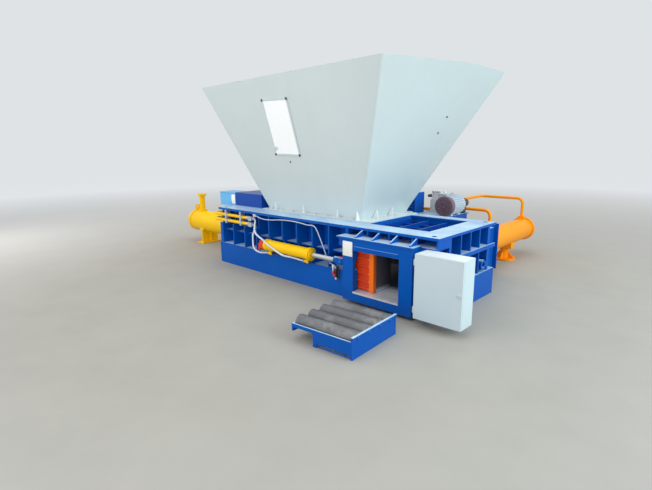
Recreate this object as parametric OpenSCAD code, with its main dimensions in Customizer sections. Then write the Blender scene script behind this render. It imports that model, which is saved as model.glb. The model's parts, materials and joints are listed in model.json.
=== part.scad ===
// Hydraulic scrap baler: a ribbed press body with a loading hopper, a main ram, a side ram that
// pushes the bale out, a sliding door, and a roller tray that receives the bale.
// +X runs from the main cylinder to the bale chamber, -Y is the side with the door, +Z is up.
// The origin is at the middle of the press body's underside.

/* [Press body] */
// Length of the press body
body_l = 3400; // [3250:10:3600]
// Width of the press body
body_w = 1180; // [1120:10:1300]
// Height of the top flange above the floor
body_h = 770; // [745:5:850]
// Thickness of the top flange
top_t = 25; // [15:1:40]
// Thickness of the body's side and end plates
wall_t = 25; // [15:1:30]
// Thickness of the bottom plate, skirts and ledges
skirt_t = 15; // [8:1:20]
// Height of the plain lower skirt
skirt_h = 280; // [240:5:320]
// Thickness of the stiffening ribs
rib_t = 16; // [10:1:25]
// Distance between the ribs along the body
rib_pitch = 262; // [220:1:320]
// Depth of the ribbed recess on the door side
near_depth = 245; // [200:5:280]
// Depth of the ribbed recess on the far side
far_depth = 150; // [120:5:180]
// Depth of the ribbed bay at the bale chamber's end
end_depth = 320; // [260:5:360]

/* [Chamber] */
// Top of the chamber floor
floor_h = 140; // [90:5:150]
// Height of both rams
ram_h = 420; // [380:5:440]
// Length of the bale along X, which is the side ram's width
bale_x = 350; // [300:5:400]
// Length of the feed opening under the hopper
feed_l = 1510; // [1300:10:1600]
// Wear plate thickness
liner_t = 10; // [6:1:16]
// Sliding clearance round the rams
ram_gap = 2; // [1:0.5:4]
// Length of the fixed bridge between the feed opening and the cover
bridge_l = 210; // [160:5:260]

/* [Main cylinder] */
// Length of the main ram's head
main_head_l = 595; // [520:5:660]
// Outside diameter of the main barrel
main_d = 340; // [300:5:345]
// Diameter of the main rod
main_rod_d = 200; // [160:5:220]
// Wall of the main barrel
main_wall = 25; // [18:1:30]
// Length of the barrel that stands out of the body
main_out = 1700; // [1680:10:1760]
// Clearance of a rod in its gland, on the radius
rod_fit = 0.08; // [0.03:0.01:0.1]

/* [Side cylinder] */
// Outside diameter of the side barrel
side_d = 300; // [260:5:320]
// Diameter of the side rod
side_rod_d = 130; // [100:5:150]
// Length of the side ram's housing outside the body
housing_l = 700; // [640:10:800]
// Length of the side barrel
side_l = 1510; // [1450:10:1900]
// Length of the side ram's head
side_head_l = 500; // [420:10:560]

/* [Door] */
// Thickness of the sliding door
door_t = 45; // [35:1:60]
// Thickness of the door frame's front plates
frame_t = 75; // [60:1:90]
// Clearance on each side of the sliding door
door_gap = 5; // [2:0.5:8]
// Clear width left beside the bale between the posts
window_extra = 192; // [120:2:220]
// Width of the left post
post_l_w = 132; // [100:2:150]
// Width of the right post
post_r_w = 139; // [110:1:150]
// Outside diameter of the door cylinder
door_cyl_d = 130; // [100:2:140]
// Length of the door cylinder's barrel
door_cyl_l = 790; // [740:5:850]
// Diameter of the door rod
door_rod_d = 60; // [45:1:70]

/* [Hopper] */
// Length of the hopper's foot
foot_l = 1570; // [1530:5:1640]
// Width of the hopper's foot
foot_w = 850; // [800:5:880]
// Height of the hopper
hopper_h = 1530; // [1200:10:1700]
// Outward lean of the near panel
flare_near = 515; // [300:5:600]
// Outward lean of the far panel
flare_far = 355; // [200:5:500]
// Outward lean of the side panels at the near edge of the rim
flare_side = 620; // [400:5:700]
// Outward lean of the side panels at their widest
flare_wide = 955; // [700:5:1100]
// Distance along Y over which the rim's near corners are cut
rim_cut = 974; // [700:5:1100]
// Plate thickness of the hopper
hopper_t = 8; // [5:1:12]
// Width of the bolted flange round the hopper's foot
foot_flange = 60; // [40:5:90]

/* [Window] */
// Width of the sight window
window_w = 380; // [250:5:420]
// Height of the sight window along the slope
window_h = 600; // [400:10:700]
// Distance of the window's middle from the hopper's middle, along X
window_x = -105; // [-200:5:0]
// Distance of the window's middle up the slope
window_up = 1045; // [800:5:1100]
// Turn of the window on the panel, in degrees
window_turn = 2; // [0:0.5:4]

/* [Control cabinet] */
// Width of the cabinet
cab_w = 445; // [400:5:500]
// Height of the cabinet
cab_h = 580; // [500:5:640]
// Depth of the cabinet
cab_d = 200; // [160:5:250]
// Height of the cabinet's underside above the floor
cab_z = 80; // [60:5:140]
// Thickness of the cabinet's door
cab_door_t = 22; // [15:1:30]

/* [Roller tray] */
// Number of rollers
roller_n = 4; // [4:1:4]
// Diameter of a roller
roller_d = 118; // [90:2:124]
// Distance between rollers
roller_pitch = 150; // [140:1:165]
// Length of a roller
roller_l = 580; // [500:5:620]
// Height of the rollers' axes
roller_z = 140; // [130:1:160]
// Height of the tray's side plates
tray_h = 180; // [165:1:190]
// Gap between the tray and the door frame
tray_gap = 295; // [200:5:340]
// Width of the plate at the tray's near end
tray_front_w = 372; // [250:2:450]
// Turn of the tray on the floor, in degrees
tray_turn = 4; // [0:0.5:6]

/* [Power unit] */
// Length of the oil tank
tank_l = 1340; // [1300:10:1350]
// Width of the oil tank
tank_w = 600; // [500:10:700]
// Height of the oil tank
tank_h = 640; // [560:10:700]
// Diameter of the pump motor
motor_d = 240; // [200:5:260]

/* [Pipes and hoses] */
// Outside diameter of the rigid pipes
pipe_d = 42; // [34:1:44]
// Outside diameter of the door cylinder's hoses
hose_d = 22; // [18:1:24]
// Outside diameter of the limit switch's cable
cable_d = 12; // [8:1:14]

/* [Hidden] */
$fn = 64;
hx = body_l / 2;
hy = body_w / 2;
under_top = body_h - top_t;
long_rib_z = 450;
foot_inset = 80;
// Chamber faces
chamber_y0 = -hy + near_depth;
chamber_y1 = hy - far_depth;
chamber_x1 = hx - end_depth;
chamber_x0 = chamber_x1 - bale_x;
ram_top = floor_h + ram_h;
cover_lead = 275;
cover_lap = 75;
mid_y = (chamber_y0 + chamber_y1) / 2;
mid_z = floor_h + ram_h / 2;
feed_x1 = chamber_x0 - bridge_l - cover_lead;
feed_x0 = feed_x1 - feed_l;
cover_x0 = feed_x1 + bridge_l;
cover_x1 = chamber_x1 + cover_lap;
cover_z = ram_top + 5;
cover_t = 35;
// Rams
main_stroke = chamber_x0 - feed_x0;
side_stroke = chamber_y1 + hy;
main_rear = -hx - main_out;
main_cap_t = 60;
gland_l = 100;
piston_l = 100;
port_out = 200;
leg_out = 380;
main_gland_x = main_rear + main_cap_t + piston_l + 45 + main_stroke;
side_x = (chamber_x0 + chamber_x1) / 2;
boss_y = mid_y + 304;
housing_y1 = hy + housing_l;
side_end_y = housing_y1 + side_l;
side_piston_l = 80;
side_cap_t = 45;
side_port_y = [housing_y1 + 300, side_end_y - 95];
side_leg_out = 860;
side_port_top = mid_z + side_d / 2 + 40;
// Door and its frame
slot_d = door_t + 2 * door_gap;
frame_y0 = -hy - slot_d - frame_t;
door_y0 = -hy - door_gap - door_t;
window_x0 = chamber_x0 - window_extra;
post_x0 = window_x0 - post_l_w;
post_x1 = chamber_x1 + post_r_w;
door_travel = bale_x - 5;
door_lap = 15;
door_l = door_travel + door_lap + 5;
door_x1 = chamber_x1 - door_travel;
door_x0 = door_x1 - door_l;
door_z0 = floor_h + 5;
door_z1 = ram_top + 20;
beam_h = 110;
beam_top = door_z1 + door_gap + beam_h - 25;
rail_x0 = post_x0 - 66;
door_cyl_y = -hy - 44;
door_cyl_z = mid_z + 50;
door_cyl_x0 = -600;
door_cyl_x1 = door_cyl_x0 + door_cyl_l;
door_pin_x = door_x0 - 50;
lug_t = 18;
sill_t = 18;
// Limit switch, ahead of the door, and the box its cable comes from
switch_lead = 150;
switch_z = 210;
junction_x = -905;
junction_w = 40;
// Hopper
foot_x0 = feed_x0 - 15;
foot_x1 = foot_x0 + foot_l;
foot_y0 = chamber_y0 + foot_inset - 10;
foot_y1 = foot_y0 + foot_w;
foot_cx = (foot_x0 + foot_x1) / 2;
hopper_z = body_h + 12;
// Casing over the main ram, and the valve box beyond it
casing_y0 = chamber_y0 + 42;
casing_y1 = chamber_y1 - 12;
casing_h = 180;
valve_box_l = 385;
hopper_rise = body_h + hopper_h - hopper_z;
slope_deg = atan(flare_near / hopper_rise);
corner_flat = 20;
pane_lap = 14;
frame_w = 22;
foot_ledge = 15;
// Gussets round the hopper's foot, as shares of its length and width
gusset_x = [0.12, 0.45, 0.8, 0.98];
gusset_y = [0.22, 0.55];
levels = 8;
corners = 6;
// Cabinet hinges
hinge_out = 8;
hinge_fwd = 14;
hinge_fit = 0.08;
hinge_z = [cab_z + 50, cab_z + cab_h - 104];
// Roller tray, in its own turned frame whose origin is the far right corner
tray_x = chamber_x1 + 185;
tray_y = frame_y0 - tray_gap;
plate_t = 14;
roller_gap = 3;
shaft_d = 30;
shaft_fit = 0.08;
tray_margin = 27;
tray_l = (roller_n - 1) * roller_pitch + roller_d + 2 * tray_margin;
// Power unit
tank_x0 = -420;
tank_y0 = hy + 330;
tank_z0 = 60;
tank_top = tank_z0 + tank_h;
motor_x = tank_x0 + tank_l - 40;
motor_y0 = tank_y0 + 110;
motor_z = tank_top + 10 + motor_d / 2;
valve_x0 = motor_x - 360;
valve_y0 = tank_y0 + 340;
valve_w = 200;

// Pipes
pipe_y = -hy + 30;
pipe_z = [under_top - 70, under_top - 148];
pipe_x1 = -hx + 670;
clamp_x = [-hx + 150, -hx + 480];
elbow_r = 80;
pipe_end_x = -hx - 80;
// Routes of the hoses and the cable, chosen by hand
hose_upper_points = [[-970, -560, 675], [-955, -560, 675], [-923, -567, 673], [-890, -583, 667],
  [-861, -604, 656], [-836, -627, 639], [-817, -648, 614], [-803, -664, 583], [-785, -675, 551],
  [-758, -682, 526], [-725, -685, 509], [-690, -688, 495], [-654, -691, 484], [-618, -695, 473],
  [-582, -701, 461], [-547, -707, 449], [-512, -712, 437], [-476, -715, 425], [-441, -717, 413],
  [-405, -716, 400], [-370, -714, 386], [-336, -711, 370], [-302, -706, 355], [-267, -699, 341],
  [-232, -691, 332], [-196, -679, 327], [-161, -665, 323], [-127, -650, 318], [-90, -642, 314],
  [-53, -640, 312], [-17, -640, 310], [17, -636, 308], [48, -634, 307], [60, -634, 307]];
hose_lower_points = [[-970, -560, 597], [-955, -560, 597], [-935, -563, 597], [-910, -571, 596],
  [-888, -583, 593], [-867, -598, 589], [-848, -614, 583], [-832, -632, 573], [-820, -650, 560],
  [-812, -666, 542], [-808, -680, 521], [-807, -690, 497], [-806, -693, 471], [-805, -694, 446],
  [-802, -696, 420], [-796, -700, 396], [-786, -706, 373], [-771, -710, 353], [-752, -710, 335],
  [-733, -705, 319], [-711, -696, 308], [-690, -683, 300], [-669, -669, 297], [-648, -657, 296],
  [-626, -644, 298], [-606, -637, 300], [-587, -634, 300], [-575, -634, 300]];
cable_points = [[-865, -592, 722], [-838, -592, 722], [-790, -598, 712], [-720, -600, 702],
  [-640, -601, 700], [-520, -601, 708], [-400, -601, 722], [-260, -601, 730], [-120, -601, 730],
  [0, -601, 722], [80, -601, 714], [150, -602, 718], [200, -603, 706], [240, -606, 662],
  [272, -603, 600], [304, -598, 530], [338, -597, 460], [372, -597, 398], [414, -603, 350],
  [462, -613, 334], [498, -621, 332], [518, -622, 322], [520, -622, 311], [520, -622, 300]];

// A box between two corners
module box3(x0, x1, y0, y1, z0, z1) {
  translate([x0, y0, z0]) cube([x1 - x0, y1 - y0, z1 - z0]);
}

// Cylinders along each axis
module rod_x(x0, x1, y, z, d) {
  translate([x0, y, z]) rotate([0, 90, 0]) cylinder(d = d, h = x1 - x0);
}

module rod_y(y0, y1, x, z, d) {
  translate([x, y0, z]) rotate([-90, 0, 0]) cylinder(d = d, h = y1 - y0);
}

module rod_z(z0, z1, x, y, d) {
  translate([x, y, z0]) cylinder(d = d, h = z1 - z0);
}

// A hexagon bolt head along +Z
module bolt_head(af, h) {
  cylinder(d = af / cos(30), h = h, $fn = 6);
}

// A ring of bolt heads on a circle, along +Z
module bolt_ring(pcd, n, af, h) {
  for (i = [0 : n - 1])
    rotate([0, 0, (i + 0.5) * 360 / n]) translate([pcd / 2, 0, 0]) bolt_head(af, h);
}

// A triangular gusset in the XZ plane: a base leg along +X and an upright leg along +Z
module gusset(base, rise, t) {
  rotate([90, 0, 0]) linear_extrude(t, center = true)
    polygon([[0, 0], [base, 0], [base, 12], [12, rise], [0, rise]]);
}

// Places along X for the ribs between two ends
function rib_places(a, b) =
  let (n = max(1, round((b - a) / rib_pitch)))
  [for (i = [0 : n]) a + rib_t / 2 + i * (b - a - rib_t) / n];

// Bottom plate, skirts and the ledge that joins the skirt to the walls
module base_frame() {
  color("royalblue") {
    box3(-hx, hx, -hy, hy, 0, skirt_t);
    // near skirt, interrupted by the bale outlet's sill
    box3(-hx, hx, -hy, -hy + skirt_t, skirt_t, floor_h - liner_t * 2);
    box3(-hx, chamber_x0 - wall_t, -hy, -hy + skirt_t, floor_h - liner_t * 2, skirt_h);
    box3(chamber_x1 + wall_t, hx, -hy, -hy + skirt_t, floor_h - liner_t * 2, skirt_h);
    // ledge on the door side
    box3(-hx, chamber_x0 - wall_t, -hy + skirt_t, chamber_y0 - liner_t - wall_t,
      skirt_h - skirt_t, skirt_h);
    // far skirt and ledge
    box3(-hx, chamber_x0 - wall_t, hy - skirt_t, hy, skirt_t, skirt_h);
    box3(chamber_x1 + wall_t, hx, hy - skirt_t, hy, skirt_t, skirt_h);
    box3(-hx, chamber_x0 - wall_t, chamber_y1 + liner_t + wall_t, hy - skirt_t,
      skirt_h - skirt_t, skirt_h);
    // end skirt and ledge
    box3(hx - skirt_t, hx, -hy + skirt_t, hy - skirt_t, skirt_t, skirt_h);
    box3(chamber_x1 + liner_t + wall_t, hx - skirt_t, chamber_y0 - liner_t, chamber_y1 + liner_t,
      skirt_h - skirt_t, skirt_h);
    box3(chamber_x1 + wall_t, hx - skirt_t, -hy + skirt_t, chamber_y0 - liner_t - wall_t,
      skirt_h - skirt_t, skirt_h);
    box3(chamber_x1 + wall_t, hx - skirt_t, chamber_y1 + liner_t + wall_t, hy - skirt_t,
      skirt_h - skirt_t, skirt_h);
    // cross members that carry the floor
    for (x = rib_places(-hx + wall_t * 2, chamber_x1))
      box3(x - rib_t / 2, x + rib_t / 2, chamber_y0, chamber_y1, skirt_t, floor_h - liner_t * 2);
  }
}

// Chamber wall on the door side: plate, upright ribs, one long rib, and the outlet's throat
module near_wall() {
  wall_y = chamber_y0 - liner_t;
  rib_y0 = -hy + 12;
  color("royalblue") difference() {
    union() {
      box3(-hx + wall_t * 2, hx - skirt_t, wall_y - wall_t, wall_y, skirt_t, under_top);
      for (x = rib_places(-hx + wall_t * 2, rail_x0))
        box3(x - rib_t / 2, x + rib_t / 2, rib_y0, wall_y - wall_t, skirt_h, under_top);
      for (x = rib_places(rail_x0, hx - skirt_t))
        box3(x - rib_t / 2, x + rib_t / 2, rib_y0, wall_y - wall_t, beam_top, under_top);
      // long rib at mid height
      box3(-hx + wall_t * 2, rail_x0, rib_y0 + 60, wall_y - wall_t, long_rib_z, long_rib_z + rib_t);
      // face plate that the door slides on, and its shelf
      box3(rail_x0, hx, -hy, -hy + skirt_t, skirt_h, beam_top - skirt_t);
      box3(rail_x0, hx - skirt_t, -hy, wall_y - wall_t, beam_top - skirt_t, beam_top);
      // throat of the outlet
      box3(chamber_x0 - wall_t, chamber_x1 + wall_t, -hy, wall_y - wall_t,
        floor_h - liner_t * 2, cover_z + wall_t);
    }
    // outlet
    box3(chamber_x0, chamber_x1, -hy - 1, wall_y + 1, floor_h - liner_t, cover_z);
    // notches in the ribs for the pipes and the door cylinder
    box3(-hx, pipe_x1 + 170, -hy - 1, pipe_y + 28, pipe_z[1] - 36, under_top + 1);
    box3(door_cyl_x0 - 130, door_cyl_x1 + 30, -hy - 1, door_cyl_y + door_cyl_d / 2 + 15,
      door_cyl_z - door_cyl_d / 2 - 15, door_cyl_z + door_cyl_d / 2 + 15);
  }
}

// Chamber wall on the far side, open where the side ram enters
module far_wall() {
  wall_y = chamber_y1 + liner_t;
  color("royalblue") difference() {
    union() {
      box3(-hx + wall_t * 2, hx - skirt_t, wall_y, wall_y + wall_t, skirt_t, under_top);
      for (x = rib_places(-hx + wall_t * 2, chamber_x0 - 60))
        box3(x - rib_t / 2, x + rib_t / 2, wall_y + wall_t, hy - 12, skirt_h, under_top);
      box3(-hx + wall_t * 2, chamber_x0 - 60, wall_y + wall_t, hy - 60, long_rib_z, long_rib_z + rib_t);
      // throat that carries the side ram's housing
      box3(chamber_x0 - wall_t, chamber_x1 + wall_t, wall_y + wall_t, hy,
        skirt_t, cover_z + wall_t);
    }
    box3(chamber_x0, chamber_x1, wall_y - 1, hy + 1, floor_h - liner_t, cover_z);
  }
}

// Ribbed end of the bale chamber
module end_wall() {
  x0 = chamber_x1 + liner_t;
  y0 = chamber_y0 - liner_t;
  y1 = chamber_y1 + liner_t;
  ledge_z = ram_top - 10;
  color("royalblue") {
    box3(x0, x0 + wall_t, y0, y1, skirt_t, cover_z);
    // ledge over the lower bays
    box3(x0 + wall_t, hx - 8, y0, y1, ledge_z - rib_t, ledge_z);
    box3(hx - skirt_t, hx, -hy + skirt_t, hy, ledge_z - 40, ledge_z);
    // ribs in the lower and the upper bays
    for (i = [0 : 4]) {
      y = y0 + rib_t / 2 + i * (y1 - y0 - rib_t) / 4;
      box3(x0 + wall_t, hx - skirt_t, y - rib_t / 2, y + rib_t / 2, skirt_h, ledge_z - rib_t);
      box3(cover_x1 + wall_t, hx - skirt_t, y - rib_t / 2, y + rib_t / 2, ledge_z, under_top);
    }
    // upper inner plate behind the cover
    box3(cover_x1, cover_x1 + wall_t, y0, y1, ledge_z, under_top);
    // round boss with a plugged hole for the chamber's drift pin
    difference() {
      rod_x(x0 + wall_t, hx - 6, boss_y, mid_z, 110);
      rod_x(hx - 60, hx, boss_y, mid_z, 60);
    }
  }
}

// Thick plate at the main cylinder's end
module rear_wall() {
  color("royalblue") difference() {
    union() {
      box3(-hx, -hx + wall_t * 2, -hy + skirt_t, hy - skirt_t, skirt_h, under_top);
      box3(-hx, -hx + wall_t * 2, -hy + skirt_t, hy - skirt_t, skirt_t, skirt_h - skirt_t);
      box3(-hx, -hx + wall_t * 2, chamber_y0 - liner_t - wall_t, chamber_y1 + liner_t + wall_t,
        skirt_h - skirt_t, skirt_h);
    }
    rod_x(-hx - 1, -hx + wall_t * 2 + 1, mid_y, mid_z, main_d + 4);
    box3(-hx - 1, -hx + wall_t * 2 + 1, -hy, pipe_y + 28, pipe_z[1] - 36, under_top + 1);
  }
}

// Top flange, with the feed opening and the recess for the cover
module top_frame() {
  color("royalblue") difference() {
    box3(-hx, hx, -hy, hy, under_top, body_h);
    box3(feed_x0, feed_x1, chamber_y0 + foot_inset, chamber_y1, under_top - 1, body_h + 1);
    box3(cover_x0, cover_x1, chamber_y0, chamber_y1, under_top - 1, body_h + 1);
    // lifting holes in the four corners
    for (sx = [-1, 1], sy = [-1, 1])
      rod_z(under_top - 1, body_h + 1, sx * (hx - 90), sy * (hy - 70), 50);
  }
}

// Worn floor plate, running out through the outlet
module floor_liner() {
  z0 = floor_h - liner_t * 2;
  color("gray") {
    box3(-hx + wall_t * 2, chamber_x1, chamber_y0, chamber_y1, z0, floor_h);
    box3(chamber_x0 + 1, chamber_x1 - 1, -hy, chamber_y0, z0 + liner_t, floor_h);
    box3(chamber_x0 + 1, chamber_x1 - 1, chamber_y1, hy, z0 + liner_t, floor_h);
  }
}

// Wear plates on the chamber's sides and end
module side_liners() {
  color("dimgray") {
    box3(-hx + wall_t * 2, chamber_x0, chamber_y0 - liner_t, chamber_y0, floor_h - liner_t * 2,
      cover_z);
    box3(-hx + wall_t * 2, chamber_x0, chamber_y1, chamber_y1 + liner_t, floor_h - liner_t * 2,
      cover_z);
    box3(chamber_x1, chamber_x1 + liner_t, chamber_y0, chamber_y1, floor_h - liner_t * 2, cover_z);
  }
}

// Ribbed cover over the bale chamber, sunk in the top flange
module chamber_cover() {
  rib_top = under_top - 12;
  edge = 2;
  x0 = cover_x0 + edge;
  x1 = cover_x1 - edge;
  y0 = chamber_y0 + edge;
  y1 = chamber_y1 - edge;
  nx = 3;
  ny = 4;
  color("mediumblue") {
    box3(x0, x1, y0, y1, cover_z, cover_z + cover_t);
    for (i = [0 : nx])
      translate([x0 + i * (x1 - x0 - rib_t) / nx, y0, cover_z + cover_t])
        cube([rib_t, y1 - y0, rib_top - cover_z - cover_t]);
    for (i = [0 : ny])
      translate([x0, y0 + i * (y1 - y0 - rib_t) / ny, cover_z + cover_t])
        cube([x1 - x0, rib_t, rib_top - cover_z - cover_t - 25]);
  }
}

// Box beam across the chamber that holds the fixed blade
module shear_beam() {
  z0 = ram_top + 4;
  color("royalblue") difference() {
    box3(feed_x1 + 40, cover_x0, chamber_y0, chamber_y1, z0, under_top);
    box3(feed_x1 + 65, cover_x0 - 25, chamber_y0 + 40, chamber_y1 - 40, z0 + 25, under_top - 20);
  }
}

// Fixed shear blade, bolted to the beam
module fixed_blade() {
  z0 = ram_top + 2;
  n = 6;
  color("silver") {
    box3(feed_x1, feed_x1 + 40, chamber_y0, chamber_y1, z0, z0 + 90);
    for (i = [0 : n - 1])
      translate([feed_x1, chamber_y0 + (i + 0.5) * (chamber_y1 - chamber_y0) / n, z0 + 55])
        rotate([0, -90, 0]) bolt_head(30, 14);
  }
}

// Raised casing on the top flange over the main ram
module ram_housing() {
  x0 = -hx + 4;
  x1 = foot_x0 - foot_flange - 64;
  t = 6;
  color("mediumblue") difference() {
    box3(x0, x1, casing_y0, casing_y1, body_h, body_h + casing_h);
    box3(x0 + t, x1 - t, casing_y0 + t, casing_y1 - t, body_h - 1, body_h + casing_h - t);
  }
}

// Valve box beyond the casing's end, over the main barrel, with its lid and side ribs
module valve_box() {
  x1 = -hx + 4;
  x0 = x1 - valve_box_l;
  y1 = casing_y0 + 260;
  z0 = body_h - 20;
  z1 = body_h + casing_h - 16;
  color("cornflowerblue") difference() {
    union() {
      box3(x0, -hx, casing_y0, y1, z0, z1);
      box3(x0, x1, casing_y0, y1, body_h, z1);
      box3(x0 - 6, x1, casing_y0 - 6, y1 + 6, z1 - 1, z1 + 8);
    }
    box3(x0 + 5, x1 - 5, casing_y0 + 5, y1 - 5, body_h - 1, z1 - 5);
  }
}

// Main ram's head: a hollow box, open at the back for the barrel
module main_ram_head() {
  t = 35;
  x1 = feed_x0;
  x0 = x1 - main_head_l;
  y0 = chamber_y0 + ram_gap;
  y1 = chamber_y1 - ram_gap;
  z0 = floor_h;
  color("slategray") difference() {
    box3(x0, x1, y0, y1, z0, ram_top);
    box3(x0 - 1, x1 - t * 2, y0 + t, y1 - t, z0 + t, ram_top - t);
    // seat of the moving blade
    box3(x1 - 42, x1 + 1, y0 - 1, y1 + 1, ram_top - 90, ram_top + 1);
  }
}

// Moving shear blade on the ram's upper edge
module main_ram_blade() {
  n = 6;
  x1 = feed_x0;
  y0 = chamber_y0 + ram_gap;
  y1 = chamber_y1 - ram_gap;
  color("silver") difference() {
    box3(x1 - 42, x1, y0, y1, ram_top - 90, ram_top);
    for (i = [0 : n - 1])
      rod_x(x1 - 20, x1 + 1, y0 + (i + 0.5) * (y1 - y0) / n, ram_top - 45, 34);
  }
}

// Main rod with its piston and the plate bolted to the ram
module main_ram_rod() {
  x_rear = main_rear + main_cap_t + 40;
  x_front = feed_x0 - 70;
  color("gainsboro") {
    rod_x(x_rear + piston_l, x_front, mid_y, mid_z, main_rod_d);
    rod_x(x_rear, x_rear + piston_l, mid_y, mid_z, main_d - 2 * main_wall - 1);
    rod_x(x_front - 45, x_front, mid_y, mid_z, main_rod_d + 90);
    translate([x_front - 45, mid_y, mid_z]) rotate([0, -90, 0])
      bolt_ring(main_rod_d + 50, 8, 30, 18);
  }
}

// Main barrel with its gland and the upright port at the rear
module main_cylinder() {
  x0 = main_rear + main_cap_t;
  port_x = main_rear + port_out;
  port_top = body_h + 15;
  color("orange") difference() {
    union() {
      rod_x(x0, main_gland_x + gland_l, mid_y, mid_z, main_d);
      rod_z(mid_z + main_d / 2 - 30, port_top, port_x, mid_y, 96);
      rod_z(port_top, port_top + 22, port_x, mid_y, 150);
      rod_z(mid_z + main_d / 2 - 20, mid_z + main_d / 2 + 24, port_x, mid_y, 150);
    }
    rod_x(x0 - 1, main_gland_x, mid_y, mid_z, main_d - 2 * main_wall);
    rod_x(main_gland_x - 1, main_gland_x + gland_l + 1, mid_y, mid_z, main_rod_d + 2 * rod_fit);
    rod_z(mid_z, port_top + 23, port_x, mid_y, 52);
  }
}

// Mounting flange on the rear wall
module main_cylinder_flange() {
  d = main_d + 170;
  t = 55;
  color("darkorange") {
    difference() {
      rod_x(-hx - t, -hx, mid_y, mid_z, d);
      rod_x(-hx - t - 1, -hx + 1, mid_y, mid_z, main_d + 0.1);
    }
    translate([-hx - t, mid_y, mid_z]) rotate([0, -90, 0])
      bolt_ring(d - 80, 12, 46, 28);
  }
}

// Rear cap with its tie bolts and an eye to lift it by
module main_cylinder_cap() {
  color("orange") {
    rod_x(main_rear, main_rear + main_cap_t, mid_y, mid_z, main_d + 20);
    translate([main_rear, mid_y, mid_z]) rotate([0, -90, 0]) bolt_ring(main_d - 40, 10, 36, 22);
    rod_x(main_rear - 40, main_rear, mid_y, mid_z, 120);
    difference() {
      box3(main_rear + 20, main_rear + 40, mid_y - 40, mid_y + 40,
        mid_z + main_d / 2 - 10, mid_z + main_d / 2 + 95);
      rod_x(main_rear + 10, main_rear + 50, mid_y, mid_z + main_d / 2 + 60, 36);
    }
  }
}

// Saddle and foot under the rear of the main barrel
module main_cylinder_leg() {
  x = main_rear + leg_out;
  color("darkorange") difference() {
    union() {
      box3(x - 90, x + 90, mid_y - 190, mid_y + 190, 0, 20);
      box3(x - 10, x + 10, mid_y - 150, mid_y + 150, 20, mid_z - 70);
      box3(x - 60, x + 60, mid_y - 10, mid_y + 10, 20, mid_z - 120);
      box3(x - 50, x + 50, mid_y - 150, mid_y + 150, mid_z - 130, mid_z - 70);
    }
    rod_x(x - 100, x + 100, mid_y, mid_z, main_d + 0.1);
    for (sx = [-1, 1], sy = [-1, 1])
      rod_z(-1, 21, x + sx * 65, mid_y + sy * 160, 22);
  }
}

// Side ram's head, a ribbed block that pushes the bale through the outlet
module side_ram_head() {
  t = 35;
  x0 = chamber_x0 + ram_gap;
  x1 = chamber_x1 - ram_gap;
  y0 = chamber_y1;
  y1 = y0 + side_head_l;
  color("slategray") difference() {
    box3(x0, x1, y0, y1, floor_h, ram_top);
    box3(x0 + t, x1 - t, y0 + t * 2, y1 + 1, floor_h + t, ram_top - t);
  }
}

// Side rod with its piston and bolted plate
module side_ram_rod() {
  y_front = chamber_y1 + 70;
  y_rear = side_end_y - side_cap_t - 10 - side_piston_l;
  color("gainsboro") {
    rod_y(y_front, y_rear, side_x, mid_z, side_rod_d);
    rod_y(y_rear, y_rear + side_piston_l, side_x, mid_z, side_d - 45);
    rod_y(y_front, y_front + 35, side_x, mid_z, side_rod_d + 80);
    translate([side_x, y_front + 35, mid_z]) rotate([-90, 0, 0])
      bolt_ring(side_rod_d + 45, 8, 24, 15);
  }
}

// Box outside the far wall that houses the side ram at rest
module side_ram_housing() {
  t = 25;
  y0 = hy;
  y1 = housing_y1;
  z1 = cover_z + t;
  color("royalblue") {
    difference() {
      union() {
        box3(chamber_x0 - t, chamber_x1 + t, y0, y1, floor_h - liner_t - t, z1);
        // collar ribs
        for (y = [y0 + 12, (y0 + y1) / 2, y1 - 12 - rib_t])
          box3(chamber_x0 - t - 50, chamber_x1 + t + 50, y, y + rib_t, floor_h - 60, z1 + 50);
        // feet
        for (y = [y0 + 140, y1 - 180])
          box3(chamber_x0 - t, chamber_x1 + t, y, y + 40, 0, floor_h - liner_t - t);
      }
      box3(chamber_x0, chamber_x1, y0 - 1, y1 - 50, floor_h - liner_t, cover_z);
      rod_y(y1 - 60, y1 + 1, side_x, mid_z, side_d + 4);
      // sight slots in both sides
      box3(chamber_x0 - t - 60, chamber_x1 + t + 60, y0 + 120, y0 + 300, mid_z - 60, mid_z + 60);
    }
    // floor strip on which the side ram runs
    box3(chamber_x0 + 1, chamber_x1 - 1, y0, y1 - 50, floor_h - liner_t, floor_h);
  }
}

// Side barrel with its gland
module side_cylinder() {
  y0 = housing_y1 - 40;
  y1 = side_end_y;
  bore = side_d - 44;
  color("orange") {
    difference() {
      rod_y(y0, y1 - side_cap_t, side_x, mid_z, side_d);
      rod_y(y0 + gland_l, y1 - side_cap_t + 1, side_x, mid_z, bore);
      rod_y(y0 - 1, y0 + gland_l + 1, side_x, mid_z, side_rod_d + 2 * rod_fit);
    }
    rod_y(y1 - side_cap_t, y1, side_x, mid_z, side_d + 40);
    translate([side_x, y1, mid_z]) rotate([-90, 0, 0]) bolt_ring(side_d - 30, 8, 30, 18);
    // port blocks
    for (y = side_port_y)
      box3(side_x - 45, side_x + 45, y - 35, y + 35, mid_z + side_d / 2 - 14, side_port_top);
  }
}

// Flange between the housing and the side barrel
module side_cylinder_flange() {
  t = 50;
  color("darkorange") {
    difference() {
      rod_y(housing_y1, housing_y1 + t, side_x, mid_z, side_d + 150);
      rod_y(housing_y1 - 1, housing_y1 + t + 1, side_x, mid_z, side_d + 0.1);
    }
    translate([side_x, housing_y1 + t, mid_z]) rotate([-90, 0, 0])
      bolt_ring(side_d + 80, 12, 40, 25);
  }
}

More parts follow.
